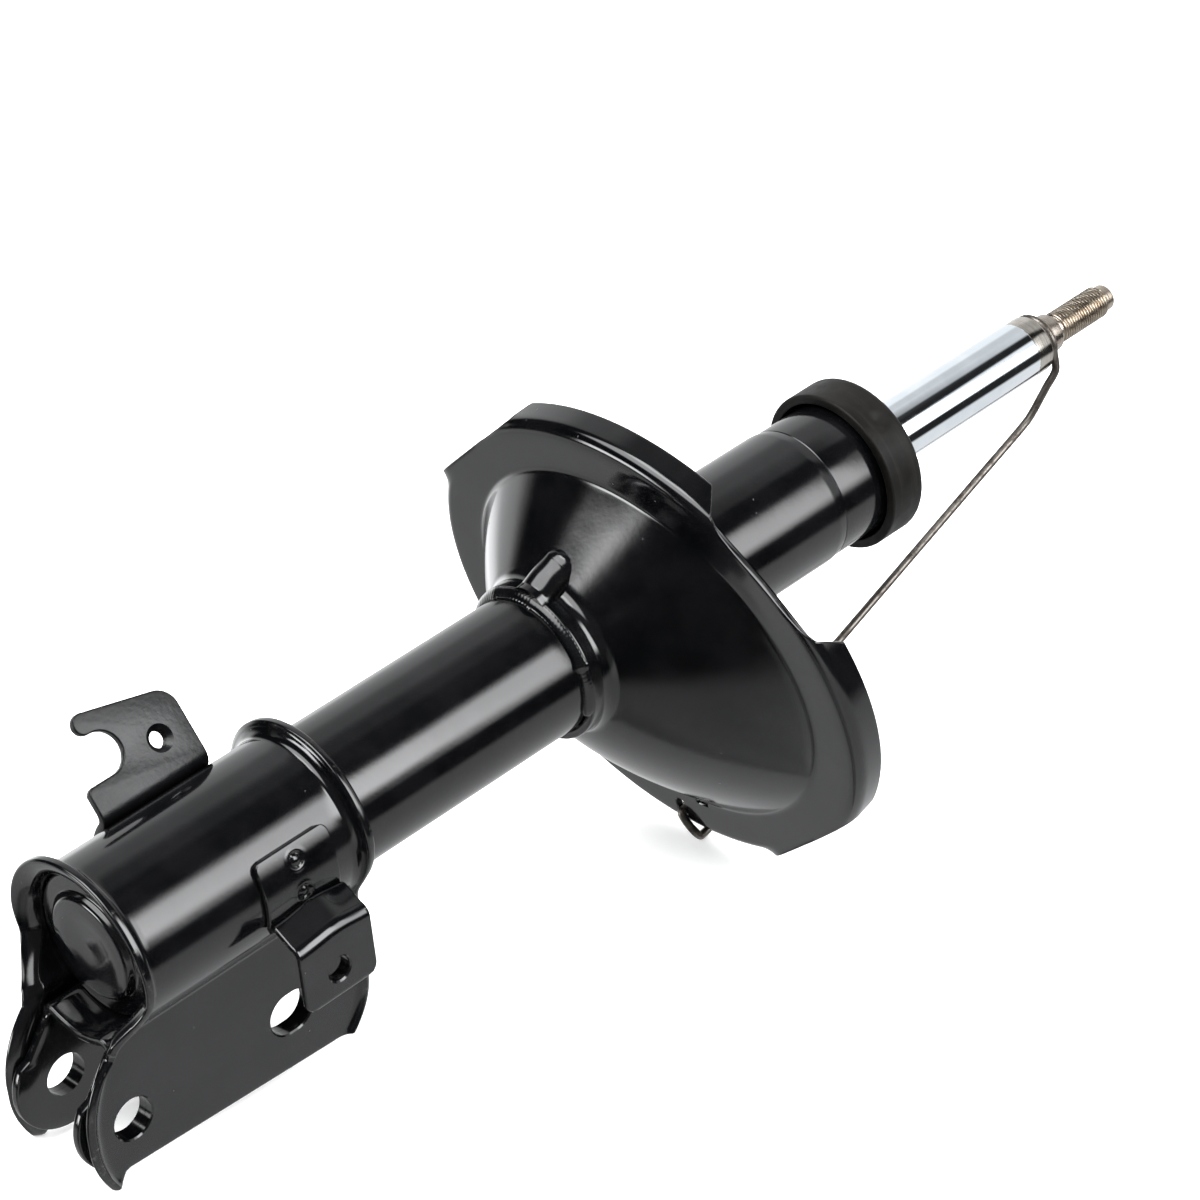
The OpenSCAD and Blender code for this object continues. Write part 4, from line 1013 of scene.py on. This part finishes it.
def make_cap():
    z0, z1, bore = TUBE_TOP + 5 - CAP_LEN, TUBE_TOP + 5, ROD_R + 1.5
    outline = [(CAP_R - CAP_WALL, z0), (CAP_R, z0), (CAP_R, z1), (bore, z1),
               (bore, TUBE_TOP + FIT), (CAP_R - CAP_WALL, TUBE_TOP + FIT)]
    profile = fillet(outline, [0.4, 0.9, 2.4, 0.7, 0.3, 0.5], 7)
    dense = densify(np.vstack([profile, profile[:1]]), 0.45)[:-1]

    def stake(p):
        """Three smooth dents in the skirt, where a round punch gripped the neck."""
        r = np.hypot(p[..., 0], p[..., 1])
        out = p[..., :2] / np.maximum(r, 1e-6)[..., None]
        for a in CAP_STAKES:
            away = np.linalg.norm(p - polar(CAP_R, a, TUBE_TOP - 3.5), axis=-1)
            depth = 1.1 * (1 - ease(away / 5.2)) - 0.05 * hump(away - 5.4, 1.4)
            depth = np.where(r > CAP_R - CAP_WALL + 1.2, depth, 0)
            p[..., :2] -= out * depth[..., None]
            r = np.hypot(p[..., 0], p[..., 1])
        return p

    obj = mesh_object("staked_cap", *lathe(dense, 288, stake))
    finish_piece(obj, ["end_cap"], [CAP], sharp=50)


# ---- rod and wire

THREAD_PITCH, THREAD_DEPTH = 1.25, 0.72


def make_rod():
    """Rod with its spigot, groove, shoulder, collar, rolled thread and plain tip."""
    spigot_z, rod_low, stop_z, bare_z, spigot = 136.0, 168.0, 214.0, 440.75, 6.0
    thread_z, thread_end, root = STUD_Z + 1.6, STUD_Z + THREAD_LEN, STUD_R - 0.85
    lower = fillet([(0, spigot_z), (spigot, spigot_z), (spigot, rod_low),
                    (ROD_R, rod_low), (ROD_R, stop_z - 0.8), (ROD_R - 0.8, stop_z - 0.6),
                    (ROD_R - 0.8, stop_z + 4.6), (ROD_R, stop_z + 4.8),
                    (ROD_R, bare_z - 0.15), (ROD_R - 0.06, bare_z + 0.15),
                    (ROD_R - 0.06, SHOULDER_Z), (COLLAR_R - 0.2, SHOULDER_Z),
                    (COLLAR_R, SHOULDER_Z + 0.4), (COLLAR_R, SHOULDER_Z + 5.2),
                    (COLLAR_R - 0.16, SHOULDER_Z + 5.5), (COLLAR_R - 0.16, STUD_Z),
                    (root, STUD_Z + 0.1), (root, thread_z - 0.4)],
                   [0, 0.7, 0.3, 0.8, 0.1, 0.1, 0.1, 0.1, 0.1, 0.1, 0.9, 0.2, 0.2, 0.2, 0.2,
                    0.8, 0.5, 0], 4, False)
    upper = fillet([(root, thread_end + 0.5), (STUD_R - 1.0, thread_end + 1.2),
                    (STUD_R - 1.0, TIP_Z), (0, TIP_Z)], [0, 0.4, 1.1, 0], 5, False)
    steps = 96
    rows = int((thread_end - thread_z + 0.4) / THREAD_PITCH * 12)
    thread_h = np.linspace(thread_z - 0.3, thread_end + 0.4, rows)
    profile = np.vstack([lower, np.column_stack([np.full(rows, STUD_R), thread_h]), upper])
    radius = np.tile(profile[:, 0], (steps, 1))
    first = len(lower)
    h = profile[None, first:first + rows, 1]
    phase = thread_phase(h, THREAD_PITCH, steps)
    ridge = np.clip(1.35 - 2.7 * np.abs(phase - 0.5) * 1.12, 0, 1)
    run_in = ease((h - thread_z) / 1.6) * ease((thread_end - h) / 1.4)
    radius[:, first:first + rows] = root + run_in * (STUD_R - root - THREAD_DEPTH
                                                     + THREAD_DEPTH * ease(ridge))
    points = turned(radius, profile[:, 1])
    faces = grid_faces(steps, len(profile), True, False)
    obj = mesh_object("damper_rod", points.reshape(-1, 3), faces)
    finish_piece(obj, ["piston_rod"], [CHROME, BARE_ROD, COLLAR_STEEL, THREAD_STEEL],
                 ROD, sharp=35)
    heights = from_row([polygon.center for polygon in obj.data.polygons])[:, 2]
    ends = (bare_z, SHOULDER_Z + 0.02, STUD_Z + 0.4)
    for polygon, z in zip(obj.data.polygons, heights):
        polygon.material_index = sum(z > end for end in ends)


def make_wire():
    loop_r, loop_z = COLLAR_R + 0.2 + WIRE_R, SHOULDER_Z + WIRE_R + 0.2
    loop = polar(loop_r, np.linspace(-10, 262, 40), loop_z)
    leave = np.array([8, -10.3, SHOULDER_Z + 0.9])
    elbow = np.array([23.4, -8, SHOULDER_Z - 11.9])
    hook_out = np.array([SEAT_R + WIRE_R + 0.4, 0.3, 0])
    hook_in = np.array([HOOK[0] + 2, HOOK[1], 0])

    def on_seat(p):
        return seat_place(np.array(p, float)) + [0, 0, SEAT_Z]

    rim = on_seat(hook_out + [-3.2, 8.2, 9.2])
    # Straight legs with a tight bend between them
    back, on = unit(leave - elbow), unit(rim - elbow)
    leg = [[2, -loop_r - 0.1, loop_z], [4.8, -loop_r - 0.5, loop_z], leave]
    leg += [leave + (elbow - leave) * k / 3 for k in (1, 2)]
    leg += [elbow + back * 3.2, elbow + (back + on) * 0.85, elbow + on * 3.2]
    run = [elbow + (rim - elbow) * k / 6 for k in range(1, 7)]
    half = (hook_in - hook_out) / 2
    drop = 0.2 * np.linalg.norm(half)
    hook = [on_seat(hook_out + v) for v in ([-1, 4.3, 9.2], [0, 1.3, 7.4], [0, 0, 4.5])]
    hook += [on_seat((hook_in + hook_out) / 2 - cosd(a) * half - [0, 0, drop * sind(a) + 0.6])
             for a in range(0, 181, 15)]
    hook += [on_seat(hook_in + [0, 0, h]) for h in (3.5, 7)]
    route = smooth_route(np.vstack([loop, leg, run, hook]), 0.8)
    along = lengths(route)
    from_end = np.minimum(along, along[-1] - along)
    ends = np.sqrt(np.clip(1 - (1 - np.clip(from_end / 0.6, 0, 1)) ** 2, 0.3, 1))
    obj = mesh_object("bent_wire", *sweep(route, WIRE_R * ends, 24))
    finish_piece(obj, ["transport_wire"], [WIRE], sharp=50)


# ---- small brackets

def make_sensor_bracket():
    """Plate round the near side, then a step out to its tab. The step's bend is draped."""
    plate_r = WRAP_R + SHEET_T / 2 + FIT + SENSOR_T / 2
    tab_x, reach, hole_at = 12.0, 35.5, (25.5, -SENSOR_OUT, SENSOR_Z)
    end = (plate_r * cosd(285), plate_r * sind(285))
    wide = np.linspace(-1, 1, 49)
    columns = []
    for w in wide:
        # The bends are draped: they lie further up the plate past the middle of the width
        drape = 2.3 * hump(w - 0.15, 0.62) - 0.6
        path = np.concatenate([
            arc((0, 0), plate_r, 238, 283 - 2.2 * drape, 46),
            arc((end[0] + 0.8 - drape * 0.8, end[1] - 3.6), 2.6, 100, 172, 8),
            arc((tab_x + 1.6 - drape * 0.6, -SENSOR_OUT + 3.6), 3.6, 188, 270, 10),
            np.column_stack([np.linspace(tab_x + 3, reach, 26), np.full(26, -SENSOR_OUT)])])
        columns.append(path)
    path = np.array(columns)
    normal2 = right_of(unit(np.gradient(path, axis=1)))
    n_rows = path.shape[1]
    s = lengths(path[24])
    half_w = np.full(n_rows, SENSOR_W / 2)
    for dist, r in ((s, 3.2), (s[-1] - s, 4.2)):
        inside = np.clip(1 - dist / r, 0, 1)
        half_w -= r * (1 - np.sqrt(1 - inside ** 2))
    mid, normal = with_z(path, SENSOR_Z + wide[:, None] * half_w), with_z(normal2, 0.0)
    # Columns run along the path here, and the loops go round the width
    mid, normal = mid.transpose(1, 0, 2), normal.transpose(1, 0, 2)
    sides = np.tile([0, 0, 1.0], (n_rows, 1))
    half = np.full(n_rows, SENSOR_T / 2)
    half[[0, -1]] -= 0.45
    # Two spot welds leave a dimple each
    for a in (249, 271):
        away = np.linalg.norm(mid - polar(plate_r, a, SENSOR_Z), axis=-1)
        dent = -0.55 * hump(away - 2.1, 0.55) + 0.25 * hump(away, 0.9)
        dent += 0.16 * hump(away - 3.3, 0.5)
        mid = mid + normal * dent[..., None]
    loops, rim, n, m = sheet_loops(mid, normal, -sides, sides, half, 0.6)
    ends = [0, 1, -2, -1]
    rim[ends] = np.maximum(rim[ends], 0.8)
    obj = sheet_object("stepped_bracket", loops, rim, n, m)
    # The hole is drawn through, with a short collar on the tab's inner side
    collar = fillet([(0, -4.2), (SENSOR_HOLE_R + 1.1, -4.2), (SENSOR_HOLE_R + 1.6, -1.3),
                     (SENSOR_HOLE_R + 2.2, 0.3), (0, 0.3)], [0, 0.4, 1.2, 0, 0], 5, False)
    combine_on_tab(obj, hole_at, lathe(collar, 72), "UNION")
    hole = prism(stadium(ROUND, SENSOR_HOLE_R, 24), [-9, -4.2, -3.8, 0.5, 1, 6],
                 [0.4, 0.4, 0, 0, 0.6, 0.6])
    combine_on_tab(obj, hole_at, hole)
    finish_piece(obj, ["sensor_bracket"], sharp=38)


def make_hose_bracket():
    """Foot round the far side and a tab with a hose slot and a threaded hole."""
    back, bend, tip = 3.9, 4.5, 64.5
    foot = WRAP_R + SHEET_T / 2 + FIT + HOSE_T / 2
    a0 = math.degrees(math.asin((back + bend) / (foot + bend)))
    c = ((foot + bend) * cosd(a0), -(foot + bend) * sind(a0))
    path = np.concatenate([arc((0, 0), foot, -62, -a0, 22), arc(c, bend, 172 - a0, 90, 9),
                           [[tip + 6, -back]]])
    tangent = unit(np.gradient(path, axis=0))
    tangent[-1] = (1, 0)
    out = right_of(tangent) * HOSE_T / 2
    outline = np.concatenate([path + out, (path - out)[::-1]])
    slot, low, high, r = (49.3, 42.0), 30.5, 74.7, 3.0
    side = np.concatenate([
        [[-50, low]], arc((slot[0] - HOSE_SLOT_R - r, low + r), r, -70, 0, 8),
        arc(slot, HOSE_SLOT_R, 180, 0, 30), arc((tip - 4.1, slot[1] - 0.4), 3.7, 180, 375, 18),
        arc((50.5, high - 8), 7.8, 15, 85, 14),
        [[-50, high - 0.2]]])
    obj = mesh_object("hose_tab", *prism(outline, [0, 110]))
    points, faces = prism(side, [-50, 50])
    combine(obj, np.column_stack([points[:, 0], points[:, 2], points[:, 1]]), faces, "INTERSECT")
    soften(obj, 0.55)
    hole_at = (44.0, -back - HOSE_T / 2, 62.3)
    collar = fillet([(0, -0.5), (HOSE_HOLE_R + 2.3, -0.5), (HOSE_HOLE_R + 2.1, 0.2),
                     (HOSE_HOLE_R + 1.5, 2.2), (0, 2.2)], [0, 0, 0.6, 0.5, 0], 5, False)
    combine_on_tab(obj, hole_at, lathe(collar, 72), "UNION")
    # The cutter has the thread's ridges, and opens out at both mouths
    steps, heights, pitch = 72, np.linspace(-4.4, 3.2, 96), 1.0
    phase = thread_phase(heights, pitch, steps)
    radius = HOSE_HOLE_R - 0.25 + 0.45 * ease(1.3 - 2.6 * np.abs(phase - 0.5))
    radius = np.maximum(radius, HOSE_HOLE_R + 0.2 + (-1.9 - heights)[None, :] * 1.3)
    radius = np.maximum(radius, HOSE_HOLE_R + 0.2 + (heights - 1.9)[None, :] * 0.8)
    radius = np.minimum(radius, HOSE_HOLE_R + 1.6)
    faces = grid_faces(steps, len(heights), True, False)
    faces += [[k * len(heights) for k in range(steps)],
              [k * len(heights) + len(heights) - 1 for k in range(steps)][::-1]]
    combine_on_tab(obj, hole_at, (turned(radius, heights).reshape(-1, 3), faces))
    # The bracket was drawn with its tab along +X, so it is turned to its place
    x, y, z = from_row([v.co for v in obj.data.vertices]).T
    x, y = turn(x, y, math.radians(180 - HOSE_ANGLE))
    points = to_row(np.column_stack([x, y, z])).astype(np.float32)
    obj.data.vertices.foreach_set("co", points.ravel())
    obj.data.update()
    finish_piece(obj, ["hose_bracket"], [GRAIN_PAINT], sharp=35)


# ---- carried-over nodes

def dress_inner():
    """The pieces inside the damper keep their CAD shape and get their own finish."""
    looks = {PLAIN: "inner_cylinder base_valve_bolt seal_washer piston_nut rebound_stop",
             SINTERED: "base_valve rod_guide piston",
             SPRING: "base_valve_discs seal_spring rebound_discs bump_discs",
             RUBBER: "oil_seal rebound_rubber", BRONZE: "guide_bush", PTFE: "piston_band"}
    for material, names in looks.items():
        for name in names.split():
            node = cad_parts[name]
            node.data.materials.clear()
            node.data.materials.append(material)


# ---- studio

def make_floor():
    centre, steps, radii = (0.2, 0), 96, (0.4, 0.9, 2.0, 4.5)
    flat = np.concatenate([arc(centre, r, 0, 360, steps)[:-1] for r in radii] + [[centre]])
    points = with_z(flat, cad_box[0][2]).tolist()
    faces = [face[::-1] for face in grid_faces(len(radii), steps, False, True)]
    faces += [(len(points) - 1, k, (k + 1) % steps) for k in range(steps)]
    mesh = bpy.data.meshes.new("studio_floor")
    mesh.from_pydata(points, [], faces)
    floor = new_object("studio_floor", mesh)
    material, tree, shader = start_material("pale_floor")
    at = add(tree, "ShaderNodeTexCoord").outputs["Object"]
    colour = blend_colour(tree, noise(tree, at, 3, 2), (0.9, 0.9, 0.9), (0.92, 0.92, 0.92))
    tree.links.new(colour, shader.inputs["Base Color"])
    tree.links.new(span(tree, noise(tree, at, 5, 2), 0, 1, 0.22, 0.3), shader.inputs["Roughness"])
    shader.inputs["Emission Color"].default_value = (1, 1, 1, 1)
    shader.inputs["Emission Strength"].default_value = 0.3
    mesh.materials.append(material)
    floor.visible_glossy = False
    floor.visible_shadow = False


def window(tree, value, low, high, soft):
    """1 while the value is between low and high, with soft sides."""
    up = span(tree, value, low - soft, low + soft, 0, 1)
    return times(tree, up, span(tree, value, high - soft, high + soft, 1, 0))


def make_world():
    """Plain pale background, and the dim studio that glossy paint mirrors."""
    world = bpy.data.worlds.new("studio")
    bpy.context.scene.world = world
    world.use_nodes = True
    tree = world.node_tree
    tree.nodes.clear()
    at = add(tree, "ShaderNodeTexCoord").outputs["Generated"]
    parts = add(tree, "ShaderNodeSeparateXYZ", {"Vector": at}).outputs
    to_degrees = 180 / math.pi
    az = times(tree, maths(tree, "ARCTAN2", parts["Y"], parts["X"]), to_degrees)
    el = times(tree, maths(tree, "ARCSINE", parts["Z"]), to_degrees)
    # Strength, then a window of azimuth (all round where it is None) and one of
    # elevation, each as (low, high, softness). The first three are the floor, which
    # shows from 19 degrees down, and behind the strut only from 41.
    zones = [
        (0.90, (-152, 158, 8), (-100, -19.5, 4)),
        (0.50, None, (-100, -41, 6)),
        (-0.50, (-152, 158, 8), (-100, -41, 6)),
        (6.70, (-64, -50, 4), (9, 43, 7)),
        (11.5, (-92, -64, 4), (15, 52, 6)),
        (1.15, (-14, 84, 7), (-20, 35, 6)),
        (0.75, (-14, 84, 7), (35, 60, 6)),
        (1.10, (-64, -30, 5), (5, 41, 3)),
        (1.60, (62, 108, 7), (-32, -3, 6)),
        (-0.20, (50, 175, 15), (-100, -36, 8)),
        (0.20, (-5, 100, 15), (58, 84, 8)),
        (6.50, (118, 220, 6), (40, 79, 4)),
        (5.00, (118, 220, 6), (64, 79, 4)),
        (14.0, (142, 163, 4), (-10, 5, 3)),
        (0.30, (-150, -118, 8), (-30, -4, 7)),
        (0.10, (-180, -90, 10), (0, 60, 10)),
        (0.06, None, (58, 100, 8)),
    ]
    total = 0.02
    for value, round_it, up in zones:
        share = window(tree, el, *up)
        if round_it:
            seen = window(tree, az, *round_it)
            if round_it[1] > 180:
                past = window(tree, maths(tree, "ADD", az, 360.0), *round_it)
                seen = maths(tree, "ADD", seen, past)
            share = times(tree, share, seen)
        total = maths(tree, "ADD", total, times(tree, share, value))
    mirror = add(tree, "ShaderNodeBackground", {"Strength": total, "Color": (0.98, 0.99, 1, 1)})
    plain = add(tree, "ShaderNodeBackground", {"Strength": 1.0, "Color": (1, 1, 1, 1)})
    seen = add(tree, "ShaderNodeLightPath").outputs["Is Camera Ray"]
    both = add(tree, "ShaderNodeMixShader")
    tree.links.new(seen, both.inputs["Fac"])
    tree.links.new(mirror.outputs[0], both.inputs[1])
    tree.links.new(plain.outputs[0], both.inputs[2])
    out = add(tree, "ShaderNodeOutputWorld")
    tree.links.new(both.outputs[0], out.inputs["Surface"])


def make_light():
    """A wide soft light overhead, which glossy surfaces don't mirror."""
    size, radiance, distance, tilt = 6.0, 2.9, 2.5, math.radians(84)
    light = bpy.data.lights.new("overhead_fill", "AREA")
    light.shape, light.size = "SQUARE", size
    light.energy = radiance * math.pi * size ** 2
    obj = new_object("overhead_fill", light)
    away = Vector((0, math.cos(tilt), math.sin(tilt)))
    obj.location = Vector((0.2, 0, 0.03)) + away * distance
    obj.rotation_euler = away.to_track_quat("Z", "Y").to_euler()
    obj.visible_glossy = False


def make_camera():
    camera = new_object("camera", bpy.data.cameras.new("camera"))
    camera.location = (-0.7068, -0.94567, 0.85194)
    camera.rotation_euler = Euler([math.radians(a) for a in (60.0414, 0.2664, -44.7322)], "XYZ")
    camera.data.sensor_width = 36
    camera.data.lens = 137.146
    camera.data.clip_start = 0.05
    bpy.context.scene.camera = camera
    view = bpy.context.scene.view_settings
    view.view_transform, view.look = "Standard", "None"
    view.exposure, view.gamma = 0.0, 1.0


make_camera()
make_tube()
make_cup()
make_bracket()
make_channel()
make_welds()
make_seat()
make_cap()
make_rod()
make_wire()
make_sensor_bracket()
make_hose_bracket()
dress_inner()
make_floor()
make_world()
make_light()

bpy.context.view_layer.update()
